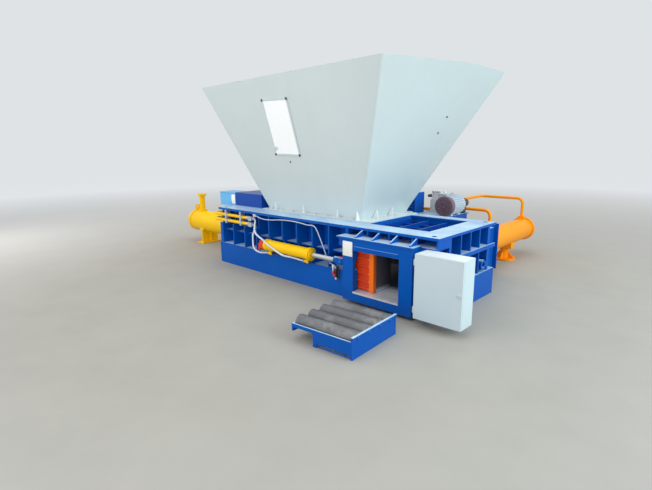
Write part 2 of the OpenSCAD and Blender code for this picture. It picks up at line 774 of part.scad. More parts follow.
// Pedestal under the side barrel
module side_cylinder_leg() {
  y = housing_y1 + side_leg_out;
  color("orange") difference() {
    union() {
      rod_z(0, 22, side_x, y, 300);
      rod_z(22, mid_z - side_d / 2 - 30, side_x, y, 110);
      box3(side_x - 110, side_x + 110, y - 60, y + 60, mid_z - side_d / 2 - 40, mid_z - 60);
      for (a = [0 : 90 : 270])
        translate([side_x, y, 22]) rotate([0, 0, a]) translate([50, 0, 0]) gusset(80, 90, 12);
    }
    rod_y(y - 61, y + 61, side_x, mid_z, side_d + 0.1);
    for (a = [0 : 90 : 270])
      translate([side_x, y, -1]) rotate([0, 0, a + 45]) translate([120, 0, 0])
        cylinder(d = 20, h = 24);
  }
}

// Door frame: two posts, a top beam and a bottom beam round the outlet
module door_frame() {
  y0 = frame_y0;
  y1 = frame_y0 + frame_t;
  slot_z0 = door_z0 - door_gap;
  slot_z1 = door_z1 + door_gap;
  post_bottom = 40;
  color("royalblue") {
    // posts
    difference() {
      box3(post_x0, window_x0, y0, y1, post_bottom, beam_top);
      // groove at its back for the rod's clevis
      box3(post_x0 - 1, window_x0 + 1, y1 - 35, y1 + 1, door_cyl_z - 46, door_cyl_z + 46);
    }
    box3(chamber_x1, post_x1, y0, y1, post_bottom, beam_top);
    // right post stands on the body and stops the door
    box3(chamber_x1 + door_gap, post_x1, y1, -hy, post_bottom, beam_top);
    // beams, with the slot for the door between them
    box3(window_x0, chamber_x1, y0, y1, ram_top, beam_top);
    box3(rail_x0, chamber_x1 + door_gap, y1, -hy, slot_z1, beam_top);
    box3(rail_x0, post_x0, y0 + 20, y1, slot_z1, beam_top);
    box3(window_x0, chamber_x1, y0, y1, post_bottom, slot_z0 - sill_t);
    box3(post_x0, chamber_x1 + door_gap, y1, -hy, post_bottom, slot_z0 - sill_t);
    // shelf that laps over the beams
    box3(rail_x0 - 10, post_x1 + 10, y0 - 12, -hy, beam_top, beam_top + rib_t);
    // ribs in front of the top beam
    box3(window_x0 + 20, chamber_x1 - 10, y0 - 10, y0, ram_top + 25, ram_top + 45);
    // gussets between the shelf and the top flange
    for (x = [window_x0 + 20 : (post_x1 - window_x0 - 60) / 3 : post_x1 - 30])
      translate([x, -hy, beam_top + rib_t]) rotate([0, 0, -90])
        gusset(-hy - y0 - 12, under_top - beam_top - rib_t, 14);
  }
}

// Bright steel sill, level with the floor, on which the bale slides out under the door
module door_sill() {
  z1 = door_z0 - door_gap;
  color("gainsboro") {
    box3(window_x0, chamber_x1, frame_y0 - 1, -hy, z1 - sill_t, z1);
    box3(post_x0, window_x0, frame_y0 + frame_t, -hy, z1 - sill_t, z1);
  }
}

// Sliding door: a slab with level ribs on its face, an end flange and the lug for its rod
module door_leaf() {
  slab_t = 25;
  ribs = 6;
  rib_w = 14;
  flange_w = 50;
  color("orangered") {
    box3(door_x0, door_x1, -hy - door_gap - slab_t, -hy - door_gap, door_z0, door_z1);
    for (i = [0 : ribs - 1])
      translate([door_x0, door_y0, door_z0 + 20 + i * (door_z1 - door_z0 - 40 - rib_w) / (ribs - 1)])
        cube([door_l - flange_w, door_t - slab_t, rib_w]);
    box3(door_x1 - flange_w, door_x1, door_y0, door_y0 + door_t - slab_t, door_z0, door_z1);
    // lug
    difference() {
      box3(door_pin_x - 30, door_x0, door_cyl_y - lug_t / 2, door_cyl_y + lug_t / 2,
        door_cyl_z - 45, door_cyl_z + 45);
      rod_y(door_cyl_y - 30, door_cyl_y + 30, door_pin_x, door_cyl_z, 30);
    }
    box3(door_x0, door_x0 + 14, door_y0, -hy - door_gap, door_z0, door_z1);
  }
}

// Door rod with its piston
module door_rod() {
  x1 = door_pin_x - 95;
  color("gainsboro") {
    rod_x(door_cyl_x1 - 480, x1, door_cyl_y, door_cyl_z, door_rod_d);
    rod_x(door_cyl_x1 - 520, door_cyl_x1 - 480, door_cyl_y, door_cyl_z, door_cyl_d - 31);
  }
}

// Clevis with its pin
module door_clevis() {
  x1 = door_pin_x - 95;
  color("royalblue") {
    rod_x(x1, x1 + 40, door_cyl_y, door_cyl_z, 76);
    for (s = [-1, 1])
      translate([0, s * 22, 0])
        box3(x1 + 40, door_pin_x + 30, door_cyl_y - 12, door_cyl_y + 12,
          door_cyl_z - 36, door_cyl_z + 36);
    rod_y(door_cyl_y - 38, door_cyl_y + 38, door_pin_x, door_cyl_z, 29.9);
    rod_y(door_cyl_y - 38, door_cyl_y - 34, door_pin_x, door_cyl_z, 46);
    box3(x1 + 38, x1 + 62, door_cyl_y - 30, door_cyl_y + 30, door_cyl_z - 36, door_cyl_z + 36);
  }
}

// Door cylinder's barrel, with its rear eye and two ports
module door_cylinder() {
  bore = door_cyl_d - 30;
  color("orange") {
    difference() {
      rod_x(door_cyl_x0 + 40, door_cyl_x1 - 55, door_cyl_y, door_cyl_z, door_cyl_d);
      rod_x(door_cyl_x0 + 39, door_cyl_x1 - 54, door_cyl_y, door_cyl_z, bore);
    }
    rod_x(door_cyl_x0, door_cyl_x0 + 40, door_cyl_y, door_cyl_z, door_cyl_d + 14);
    difference() {
      union() {
        rod_y(door_cyl_y - 20, door_cyl_y + 20, door_cyl_x0 - 50, door_cyl_z, 80);
        box3(door_cyl_x0 - 50, door_cyl_x0, door_cyl_y - 20, door_cyl_y + 20,
          door_cyl_z - 40, door_cyl_z + 40);
      }
      rod_y(door_cyl_y - 21, door_cyl_y + 21, door_cyl_x0 - 50, door_cyl_z, 36);
    }
    // ports underneath, each with an elbow that points to the rear
    for (p = [[door_cyl_x0 + 62, 37, 35], [door_cyl_x1 - 85, 45, 28]])
      let (z = door_cyl_z - door_cyl_d / 2) {
        rod_z(z - p[2] - 15, z + 6, p[0], door_cyl_y, 34);
        rod_x(p[0] - p[1], p[0], door_cyl_y, z - p[2], 30);
      }
  }
}

// Gland nut on the door cylinder
module door_gland() {
  color("darkorange") difference() {
    union() {
      rod_x(door_cyl_x1 - 55, door_cyl_x1 - 15, door_cyl_y, door_cyl_z, door_cyl_d + 16);
      rod_x(door_cyl_x1 - 15, door_cyl_x1, door_cyl_y, door_cyl_z, door_cyl_d - 24);
    }
    rod_x(door_cyl_x1 - 60, door_cyl_x1 + 1, door_cyl_y, door_cyl_z, door_rod_d + 2 * rod_fit);
  }
}

// Bracket on the near wall that holds the rear eye with its pin
module door_bracket() {
  x = door_cyl_x0 - 50;
  y1 = chamber_y0 - liner_t - wall_t;
  color("orangered") {
    for (s = [-1, 1])
      difference() {
        box3(x - 45, x + 45, door_cyl_y + s * 33 - 12, door_cyl_y + s * 33 + 12,
          door_cyl_z - 50, door_cyl_z + 50);
        rod_y(door_cyl_y - 60, door_cyl_y + 60, x, door_cyl_z, 36);
      }
    box3(x - 70, x - 45, door_cyl_y - 45, y1, door_cyl_z - 75, door_cyl_z + 12);
    rod_y(door_cyl_y - 50, door_cyl_y + 50, x, door_cyl_z, 35.9);
    rod_y(door_cyl_y - 54, door_cyl_y - 45, x, door_cyl_z, 54);
  }
}

// Bare plates on the left post and on the valve box
module label_plate() {
  color("ivory") {
    box3(post_x0 + 4, window_x0 - 4, frame_y0 - 2, frame_y0, beam_top - 175, beam_top - 30);
    box3(-hx - 100, -hx - 10, casing_y0 - 2, casing_y0, body_h + 50, body_h + 130);
  }
}

// Limit switch with its roller lever, on a bracket by the door's rod
module limit_switch() {
  x = door_x0 - switch_lead;
  z = switch_z;
  // junction box under the top flange, where the cable starts
  color("lightsteelblue") box3(junction_x, junction_x + junction_w, -hy - 14, -hy + 11,
    under_top - 40, under_top);
  color("firebrick") {
    box3(x - 20, x + 20, -hy - 55, -hy - 10, z, z + 90);
    rod_y(-hy - 75, -hy - 55, x, z + 60, 24);
  }
  color("white") {
    box3(x - 28, x + 28, -hy - 10, -hy, z - 30, z + 110);
    box3(x - 5, x + 5, -hy - 75, -hy - 65, z + 60, z + 120);
    rod_y(-hy - 78, -hy - 62, x, z + 122, 24);
  }
}

// Cabinet shell, open at the front, with its hinge barrels
module cabinet_box() {
  x0 = post_x1 + 68;
  x1 = x0 + cab_w;
  y1 = -hy - 2;
  y0 = y1 - cab_d + cab_door_t;
  t = 4;
  color("lightgray") {
    difference() {
      box3(x0, x1, y0, y1, cab_z, cab_z + cab_h);
      box3(x0 + t, x1 - t, y0 - 1, y1 - t, cab_z + t, cab_z + cab_h - t);
    }
    // folded front lip
    difference() {
      box3(x0 + t, x1 - t, y0, y0 + 3, cab_z + t, cab_z + cab_h - t);
      box3(x0 + 22, x1 - 22, y0 - 1, y0 + 4, cab_z + 22, cab_z + cab_h - 22);
    }
    // mounting plate inside
    box3(x0 + 30, x1 - 30, y1 - 20, y1 - t, cab_z + 30, cab_z + cab_h - 30);
    // straps to the body
    for (z = [cab_z + 200, cab_z + cab_h - 110])
      box3(x0, hx - 10, y1 - 1, -hy, z, z + 40);
    // cable glands underneath
    for (i = [0 : 2])
      rod_z(cab_z - 26, cab_z + 1, x0 + 100 + i * 60, y1 - 80, 28);
    // fixed hinge leaves and their knuckles
    for (z = hinge_z)
      difference() {
        union() {
          rod_z(z, z + 40, x0 - hinge_out, y0 - hinge_fwd, 12);
          box3(x0 - 13, x0 - hinge_out, y0 - hinge_fwd, y0 + 3, z, z + 40);
          box3(x0 - 13, x0 + 1, y0 + 2, y0 + 28, z, z + 40);
        }
        rod_z(z - 1, z + 41, x0 - hinge_out, y0 - hinge_fwd, 6 + 2 * hinge_fit);
      }
  }
}

// Cabinet door with its folded edge, hinge pins and a key lock
module cabinet_door() {
  x0 = post_x1 + 68;
  x1 = x0 + cab_w;
  y1 = -hy - 2 - cab_d + cab_door_t - 1;
  y0 = y1 - cab_door_t + 1;
  t = 3;
  color("gainsboro") {
    difference() {
      box3(x0, x1, y0, y1, cab_z + 1, cab_z + cab_h - 1);
      box3(x0 + t, x1 - t, y0 + t, y1 + 1, cab_z + 1 + t, cab_z + cab_h - 1 - t);
    }
    // key lock with its cam
    rod_y(y0 - 6, y0 + t, x1 - 32, cab_z + cab_h / 2, 26);
    box3(x1 - 44, x1 - 20, y1 - 6, y1 - 2, cab_z + cab_h / 2 - 10, cab_z + cab_h / 2 + 10);
    rod_y(y0 + t - 1, y1 - 2, x1 - 32, cab_z + cab_h / 2, 12);
    // hinge pins, held by lugs above the knuckles
    for (z = hinge_z) {
      rod_z(z + 8, z + 42, x0 - hinge_out, y1 + 1 - hinge_fwd, 6);
      rod_z(z + 41, z + 54, x0 - hinge_out, y1 + 1 - hinge_fwd, 12);
      box3(x0 - hinge_out, x0 + 2, y1 + 1 - hinge_fwd - 5, y1 + 1 - hinge_fwd + 5, z + 41, z + 54);
    }
  }
}

// Outline of the hopper's foot, moved outwards by a distance
module foot_outline(out) {
  translate([foot_x0 - out, foot_y0 - out]) square([foot_l + 2 * out, foot_w + 2 * out]);
}

// Outline of the hopper at a share of its height, moved inwards by a distance. The near corners
// are cut, from a point at the foot's far corners to the full cut at the rim.
function hopper_outline(share, inset) =
  let (
    a = foot_l / 2 + flare_side * share - inset,
    b = foot_l / 2 + flare_wide * share - inset,
    y0 = foot_y0 - flare_near * share + inset,
    y1 = foot_y1 + flare_far * share - inset,
    yc = (foot_y1 - corner_flat) * (1 - share) + (foot_y0 - flare_near + rim_cut) * share - inset
  )
  [[-a, y0], [a, y0], [b, yc], [b, y1], [-b, y1], [-b, yc]];

// Points of the outline at each level, from foot to rim, and the triangles between the levels
function hopper_points(inset) =
  [for (k = [0 : levels], q = hopper_outline(k / levels, inset))
    [foot_cx + q[0], q[1], hopper_z + k / levels * hopper_rise]];
function hopper_walls() =
  [for (k = [0 : levels - 1], i = [0 : corners - 1])
    let (m = (i + 1) % corners, a = k * corners, b = a + corners)
    each [[a + i, b + i, b + m], [a + i, b + m, a + m]]];

// Closed solid inside the hopper's outline; its cut corners twist gently from foot to rim
module hopper_solid(inset) {
  last = (levels + 1) * corners - 1;
  caps = [[for (i = [0 : corners - 1]) i], [for (i = [0 : corners - 1]) last - i]];
  polyhedron(hopper_points(inset), concat(hopper_walls(), caps));
}

// Sheet steel hopper, open at top and bottom, with the opening of the sight window
module hopper_shell() {
  inner = (levels + 1) * corners;
  top = levels * corners;
  inside = [for (f = hopper_walls()) [inner + f[2], inner + f[1], inner + f[0]]];
  rims = [for (i = [0 : corners - 1])
    let (m = (i + 1) % corners)
    each [[i, m, inner + m, inner + i], [top + m, top + i, inner + top + i, inner + top + m]]];
  color("lightsteelblue") difference() {
    polyhedron(concat(hopper_points(0), hopper_points(hopper_t)),
      concat(hopper_walls(), inside, rims));
    on_near_panel()
      translate([-window_w / 2 + pane_lap, -window_h / 2 + pane_lap, -hopper_t * 2])
        cube([window_w - 2 * pane_lap, window_h - 2 * pane_lap, hopper_t * 3]);
  }
}

// Flat flange under the hopper, bolted to the top frame
module hopper_flange() {
  color("lightsteelblue") {
    translate([0, 0, body_h]) linear_extrude(hopper_z - body_h) difference() {
      union() {
        foot_outline(foot_flange);
        translate([foot_x1, foot_y0 - foot_flange])
          square([cover_x0 - foot_x1 - 6, foot_w + foot_flange]);
      }
      translate([foot_x0 + foot_ledge, chamber_y0 + foot_inset])
        square([foot_l - 4 * foot_ledge, chamber_y1 - chamber_y0 - foot_inset]);
    }
    n = 8;
    for (i = [0 : n - 1])
      translate([foot_x0 + (i + 0.5) * foot_l / n, foot_y0 - foot_flange / 2, hopper_z])
        bolt_head(24, 14);
    m = 4;
    for (i = [0 : m - 1])
      translate([foot_x1 + foot_flange / 2 + 40, foot_y0 + (i + 0.5) * foot_w / m, hopper_z])
        bolt_head(24, 14);
  }
}

// Gussets between the hopper's panels and its flange
module hopper_gussets() {
  t = 10;
  rise = 95;
  lean_n = flare_near / hopper_rise;
  color("whitesmoke") difference() {
    union() {
      for (share = gusset_x)
        translate([foot_x0 + share * foot_l, foot_y0, hopper_z])
          rotate([0, 0, -90]) rotate([90, 0, 0]) linear_extrude(t, center = true)
            polygon([[-4, 0], [foot_flange - 6, 0], [lean_n * rise + 14, rise],
              [lean_n * rise - 4, rise]]);
      for (share = gusset_y) {
        y = foot_y0 + share * foot_w;
        lean_s = (flare_side + (flare_wide - flare_side) * (y + 30 - foot_y0) / foot_w) / hopper_rise;
        translate([foot_x1, y, hopper_z]) rotate([90, 0, 0]) linear_extrude(t, center = true)
          polygon([[-4, 0], [foot_flange + 20, 0], [lean_s * rise + 22, rise], [lean_s * rise - 4, rise]]);
      }
    }
    hopper_solid(-0.05);
  }
}

// Places a part on the near panel: X along the panel, Y up the slope, Z out of it
module on_near_panel() {
  translate([foot_cx + window_x, foot_y0, hopper_z])
    rotate([90 + slope_deg, 0, 0]) translate([0, window_up, 0]) rotate([0, 0, -window_turn])
      children();
}

// Frame bolted round the sight window, with a small hasp on its left edge
module window_frame() {
  w = window_w + 2 * frame_w;
  h = window_h + 2 * frame_w;
  color("whitesmoke") on_near_panel() {
    translate([0, 0, 0.02]) difference() {
      translate([-w / 2, -h / 2, 0]) cube([w, h, 8]);
      translate([-window_w / 2, -window_h / 2, -1]) cube([window_w, window_h, 10]);
    }
    for (sx = [-1, 1], sy = [-1, 1])
      translate([sx * (window_w + frame_w) / 2, sy * (window_h + frame_w) / 2, 7.9])
        bolt_head(16, 8);
    // hasp
    translate([-w / 2 + 4, -w / 2 - 40, 7.9]) cube([60, 34, 8]);
  }
}

// Pane of the sight window
module window_pane() {
  color("white") on_near_panel() translate([-window_w / 2, -window_h / 2, 0.02])
    cube([window_w, window_h, 5]);
}

// Places the tray: origin at its far right corner, local Y towards the body
module on_tray() {
  translate([tray_x, tray_y, 0]) rotate([0, 0, tray_turn]) children();
}

// Distance of a roller from the tray's far end
function roller_y(i) = -tray_margin - roller_d / 2 - i * roller_pitch;

// Tray that stands on the floor in front of the outlet: a deep right plate, a low rail on the left
// whose notches are open at the top, and a front plate that stops short of that rail
module tray_frame() {
  inner = roller_l + 2 * roller_gap;
  rail_x = -plate_t - inner;
  front_x = -plate_t - tray_front_w;
  rail_top = roller_z + 4;
  under = roller_z - roller_d / 2 - 8;
  front_z = 36;
  color("royalblue") on_tray() {
    difference() {
      union() {
        // right plate with its folded lip, and left rail
        box3(-plate_t, 0, -tray_l, 0, 0, tray_h);
        box3(-1, 10, -tray_l, 0, tray_h - 8, tray_h);
        box3(rail_x - plate_t, rail_x, -tray_l, 0, under + 6, rail_top);
        // front plate on its legs, with the bar that reaches the rail
        box3(front_x, -plate_t, -tray_l, -tray_l + plate_t, front_z, rail_top);
        box3(rail_x, front_x, -tray_l, -tray_l + plate_t, rail_top - 30, rail_top);
        box3(front_x, front_x + 40, -tray_l, -tray_l + plate_t, 0, front_z);
        // rear and bottom
        box3(rail_x - plate_t, -plate_t, -plate_t, 0, 0, rail_top - 24);
        box3(front_x, -plate_t, -tray_l + plate_t, -plate_t, 0, 8);
        // bracket under the rail
        translate([0, -tray_l + 150, 0]) rotate([90, 0, 0]) linear_extrude(plate_t)
          polygon([[front_x + 1, 0], [front_x + 1, under], [rail_x, under], [rail_x, under + 7],
            [rail_x - plate_t, under + 7], [rail_x - plate_t, under - 10], [front_x - 40, 0]]);
      }
      for (i = [0 : roller_n - 1])
        rod_x(rail_x - plate_t - 1, 1, roller_y(i), roller_z, shaft_d + 2 * shaft_fit);
    }
  }
}

// One roller with its shaft ends
module roller(i) {
  x1 = -plate_t - roller_gap;
  color("dimgray") on_tray() {
    rod_x(x1 - roller_l, x1, roller_y(i), roller_z, roller_d);
    rod_x(x1 - roller_l - roller_gap - plate_t, x1 + roller_gap + plate_t, roller_y(i), roller_z, shaft_d);
  }
}

// Oil tank of the power unit, with its lid, feet and level gauge
module oil_tank() {
  x0 = tank_x0;
  x1 = x0 + tank_l;
  y0 = tank_y0;
  y1 = y0 + tank_w;
  color("royalblue") {
    box3(x0, x1, y0, y1, tank_z0, tank_top - 12);
    box3(x0 - 15, x1 + 15, y0 - 15, y1 + 15, tank_top - 12, tank_top);
    // skids that tie the unit to the press body
    for (x = [x0 + 60, x1 - 140])
      box3(x, x + 80, hy, y1 - 20, 0, tank_z0);
    rod_z(tank_top, tank_top + 60, x0 + 100, y1 - 100, 90);
  }
}

// Air blast cooler on the tank
module oil_cooler() {
  x0 = tank_x0 + 440;
  x1 = x0 + 440;
  y0 = tank_y0 + 60;
  y1 = y0 + 220;
  z1 = tank_top + 270;
  n = 6;
  color("royalblue") difference() {
    box3(x0, x1, y0, y1, tank_top, z1);
    for (i = [0 : n - 1])
      box3(x0 + 40, x1 - 40, y0 - 1, y0 + 14, tank_top + 40 + i * 38, tank_top + 58 + i * 38);
    rod_y(y1 - 30, y1 + 1, (x0 + x1) / 2, (tank_top + z1) / 2, 230);
  }
}

// Pump motor, with its fins and terminal box, lying along Y
module pump_motor() {
  l = 300;
  fins = 24;
  color("darkseagreen") {
    rod_y(motor_y0, motor_y0 + l, motor_x, motor_z, motor_d - 30);
    for (i = [0 : fins - 1])
      translate([motor_x, motor_y0, motor_z]) rotate([0, i * 360 / fins, 0])
        translate([-3, 0, motor_d / 2 - 20]) cube([6, l - 15, 20]);
    for (y = [motor_y0 + 30, motor_y0 + l - 80])
      box3(motor_x - 95, motor_x + 50, y, y + 50, tank_top, motor_z - 40);
    box3(motor_x - 160, motor_x - 40, motor_y0 + 70, motor_y0 + 210, motor_z + 50, motor_z + 130);
  }
}

// Fan cowl on the motor's near end
module motor_cowl() {
  color("brown") difference() {
    rod_y(motor_y0 - 70, motor_y0, motor_x, motor_z, motor_d);
    rod_y(motor_y0 - 60, motor_y0 + 1, motor_x, motor_z, motor_d - 8);
    for (r = [30, 55, 80])
      for (a = [0 : 30 : 330])
        translate([motor_x, motor_y0 - 71, motor_z]) rotate([0, a, 0]) translate([0, 0, r])
          rotate([-90, 0, 0]) cylinder(d = 9 + r / 12, h = 14);
  }
}

// Pump behind the motor
module hydraulic_pump() {
  y0 = motor_y0 + 300;
  color("dimgray") {
    rod_y(y0, y0 + 60, motor_x, motor_z, 150);
    rod_y(y0 + 60, y0 + 190, motor_x, motor_z, 110);
    box3(motor_x - 40, motor_x + 40, y0 + 90, y0 + 150, tank_top, motor_z - 30);
  }
}

// Valve block beside the motor
module valve_block() {
  x0 = valve_x0;
  y0 = valve_y0;
  z0 = tank_top;
  color("wheat") {
    box3(x0, x0 + 150, y0, y0 + valve_w, z0, z0 + 170);
    for (y = [y0 + 20, y0 + 120])
      box3(x0 + 10, x0 + 140, y, y + 60, z0 + 169, z0 + 270);
  }
}

// Two rigid pipes along the near side, each with an elbow at the body's end
module elbow(r, d) {
  rotate_extrude(angle = 90) translate([r, 0]) circle(d = d);
}

// A pipe from the valve block along +Y, over to the side cylinder, and down into a port at y
module side_pipe(x, y, z) {
  rod_y(valve_y0 + valve_w, y - elbow_r, x, z, pipe_d);
  translate([x + elbow_r, y - elbow_r, z]) rotate([0, 0, 90]) elbow(elbow_r, pipe_d);
  rod_x(x + elbow_r, side_x - elbow_r, y, z, pipe_d);
  translate([side_x - elbow_r, y, z - elbow_r]) rotate([90, 0, 0]) elbow(elbow_r, pipe_d);
  rod_z(side_port_top, z - elbow_r, side_x, y, pipe_d);
}

module pressure_pipes() {
  back_x = pipe_end_x - elbow_r;
  back_y = valve_y0 + 40;
  back_z = tank_top + 30;
  color("orange") {
    side_pipe(valve_x0 + 50, side_port_y[1], tank_top + 100);
    side_pipe(valve_x0 + 110, side_port_y[0], tank_top + 40);
    // from the valve block to the manifold over the main barrel
    rod_x(back_x + elbow_r, valve_x0, back_y, back_z, pipe_d);
    translate([back_x + elbow_r, back_y - elbow_r, back_z]) rotate([0, 0, 90])
      elbow(elbow_r, pipe_d);
    rod_y(mid_y + 90, back_y - elbow_r, back_x, back_z, pipe_d);
  }
  color("orange") for (z = pipe_z) {
    rod_x(pipe_end_x, pipe_x1, pipe_y, z, pipe_d);
    translate([pipe_end_x, pipe_y + elbow_r, z]) rotate([0, 0, 180]) elbow(elbow_r, pipe_d);
    rod_y(pipe_y + elbow_r, mid_y - 90, pipe_end_x - elbow_r, z, pipe_d);
  }
}

// Pipe clamps, the end blocks that the hoses leave, and the manifold over the main barrel
module pipe_fittings() {
  color("lightsteelblue") {
    for (x = clamp_x)
      difference() {
        box3(x, x + 34, pipe_y - 30, pipe_y + 40, pipe_z[1] - 32, under_top);
        for (z = pipe_z)
          rod_x(x - 1, x + 35, pipe_y, z, pipe_d + 0.1);
      }
    for (z = pipe_z)
      box3(pipe_x1, pipe_x1 + 60, pipe_y - 28, pipe_y + 28, z - 28, z + 28);
    difference() {
      box3(pipe_end_x - elbow_r - 60, pipe_end_x - elbow_r + 60, mid_y - 90, mid_y + 90,
        mid_z + 120, under_top + 10);
      rod_x(pipe_end_x - elbow_r - 61, pipe_end_x - elbow_r + 61, mid_y, mid_z, main_d + 0.1);
    }
  }
}

// A round tube swept along a list of points
function unit(v) = v / norm(v);
function along(p, i) = unit(p[min(i + 1, len(p) - 1)] - p[max(i - 1, 0)]);
function side_of(t) = unit(cross(t, abs(t[2]) > 0.9 ? [0, 1, 0] : [0, 0, 1]));
function carried(n, t) = unit(n - (n * t) * t);
function sides(p, i) = i == 0 ? side_of(along(p, 0)) : carried(sides(p, i - 1), along(p, i));

module tube(p, d, n) {
  rings = len(p);
  points = [for (i = [0 : rings - 1])
    let (t = along(p, i), a = sides(p, i), b = cross(t, a))
    for (k = [0 : n - 1]) p[i] + (cos(k * 360 / n) * a + sin(k * 360 / n) * b) * d / 2];
  walls = [for (i = [0 : rings - 2], k = [0 : n - 1])
    let (m = (k + 1) % n)
    each [[i * n + k, (i + 1) * n + k, (i + 1) * n + m], [i * n + k, (i + 1) * n + m, i * n + m]]];
  caps = [[for (k = [0 : n - 1]) k], [for (k = [0 : n - 1]) rings * n - 1 - k]];
  polyhedron(points, concat(walls, caps));
}

module hose_upper() {
  color("gainsboro") tube(hose_upper_points, hose_d, 10);
}

module hose_lower() {
  color("gainsboro") tube(hose_lower_points, hose_d, 10);
}

module switch_cable() {
  color("silver") tube(cable_points, cable_d, 8);
}

base_frame();
near_wall();
far_wall();
end_wall();
rear_wall();
top_frame();
floor_liner();
side_liners();
chamber_cover();
shear_beam();
fixed_blade();
ram_housing();
valve_box();
main_ram_head();
main_ram_blade();
main_ram_rod();
main_cylinder();
main_cylinder_flange();
main_cylinder_cap();
main_cylinder_leg();
side_ram_head();
side_ram_rod();
side_ram_housing();
side_cylinder();
side_cylinder_flange();
side_cylinder_leg();
door_frame();
door_sill();
door_leaf();
door_rod();
door_clevis();
door_cylinder();
door_gland();
door_bracket();
label_plate();
limit_switch();
cabinet_box();
cabinet_door();
hopper_shell();
hopper_flange();
hopper_gussets();
window_frame();
window_pane();
tray_frame();
roller(0);  // roller_1
roller(1);  // roller_2
roller(2);  // roller_3
roller(3);  // roller_4
oil_tank();
oil_cooler();
pump_motor();
motor_cowl();
hydraulic_pump();
valve_block();
pressure_pipes();
pipe_fittings();
hose_upper();
hose_lower();
switch_cable();
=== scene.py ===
"""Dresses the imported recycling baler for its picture.

This script adds the camera, the materials, the cords, the fine pieces that the CAD leaves
plain, the floor and the light. The fine pieces are drawn in millimetres, in the frame of the
part's source, and brought to metres at the end. Where a CAD node's box gives their place, it
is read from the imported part.
"""
import json
import math

import bmesh
import bpy
from mathutils import Matrix, Vector


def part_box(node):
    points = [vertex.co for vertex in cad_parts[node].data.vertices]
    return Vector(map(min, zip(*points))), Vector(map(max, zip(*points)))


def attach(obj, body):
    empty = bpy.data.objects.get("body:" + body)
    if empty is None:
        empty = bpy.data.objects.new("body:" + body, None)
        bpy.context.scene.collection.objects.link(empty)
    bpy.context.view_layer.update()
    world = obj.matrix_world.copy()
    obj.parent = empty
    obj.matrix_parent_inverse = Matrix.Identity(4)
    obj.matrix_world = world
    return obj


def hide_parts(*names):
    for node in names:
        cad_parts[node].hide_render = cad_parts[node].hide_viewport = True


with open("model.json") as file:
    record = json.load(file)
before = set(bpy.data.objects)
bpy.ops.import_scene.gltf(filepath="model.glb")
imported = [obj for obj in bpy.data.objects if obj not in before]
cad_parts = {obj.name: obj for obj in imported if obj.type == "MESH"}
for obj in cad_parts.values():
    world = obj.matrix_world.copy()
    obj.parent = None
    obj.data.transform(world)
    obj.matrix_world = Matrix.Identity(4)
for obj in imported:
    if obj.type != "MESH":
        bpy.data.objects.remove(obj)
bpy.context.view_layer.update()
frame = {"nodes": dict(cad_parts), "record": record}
NODES = frame["nodes"]

MM_PER_M = 1000.0
X, Y, Z = Vector((1, 0, 0)), Vector((0, 1, 0)), Vector((0, 0, 1))


def box_mm(name):
    """Lowest and highest corner of a CAD node, in millimetres to one decimal."""
    return [[round(c * MM_PER_M, 1) for c in corner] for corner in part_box(name)]


def middle_mm(name):
    """Middle of a CAD node's box, in millimetres."""
    return [(a + b) / 2 for a, b in zip(*box_mm(name))]


# --- camera, solved from the body's edges in the photograph -----------------------------------

CAMERA_AT = Vector((3.522, -3.898, 1.527))
YAW = math.radians(133.77)
PITCH = math.radians(-12.34)
ROLL = math.radians(-0.60)
LENS_MM = 24.04
SENSOR_MM = 36.0
CLIP_END_M = 400.0


def add_camera():
    """The photograph's camera; yaw is from +X, pitch is up, roll is about the line of sight."""
    ahead = Vector((math.cos(YAW), math.sin(YAW), 0.0))
    right = Vector((ahead.y, -ahead.x, 0.0))
    look = ahead * math.cos(PITCH) + Z * math.sin(PITCH)
    up = right.cross(look)
    right, up = (
        right * math.cos(ROLL) + up * math.sin(ROLL),
        up * math.cos(ROLL) - right * math.sin(ROLL),
    )
    data = bpy.data.cameras.new("camera")
    data.lens = LENS_MM
    data.sensor_width = SENSOR_MM
    data.clip_end = CLIP_END_M
    cam = bpy.data.objects.new("camera", data)
    turn = Matrix((right, up, -look)).transposed().to_4x4()
    cam.matrix_world = Matrix.Translation(CAMERA_AT) @ turn
    bpy.context.scene.collection.objects.link(cam)
    bpy.context.scene.camera = cam


add_camera()

# --- materials --------------------------------------------------------------------------------

# colour sockets of the Mix node
MIX_A, MIX_B, MIX_RESULT = 6, 7, 2

CHIP_COLOUR = (0.45, 0.44, 0.42)
DUST_COLOUR = (0.50, 0.48, 0.45)
# colour of the painted shade inside the chamber's steel
SHADE_COLOUR = (0.05, 0.045, 0.05)
# edges go this share of the way to this grey: rubbed paint, and a painted highlight along them
WEAR_AND_HIGHLIGHT_GREY = 0.75
WEAR_AND_HIGHLIGHT_SHARE = 0.6


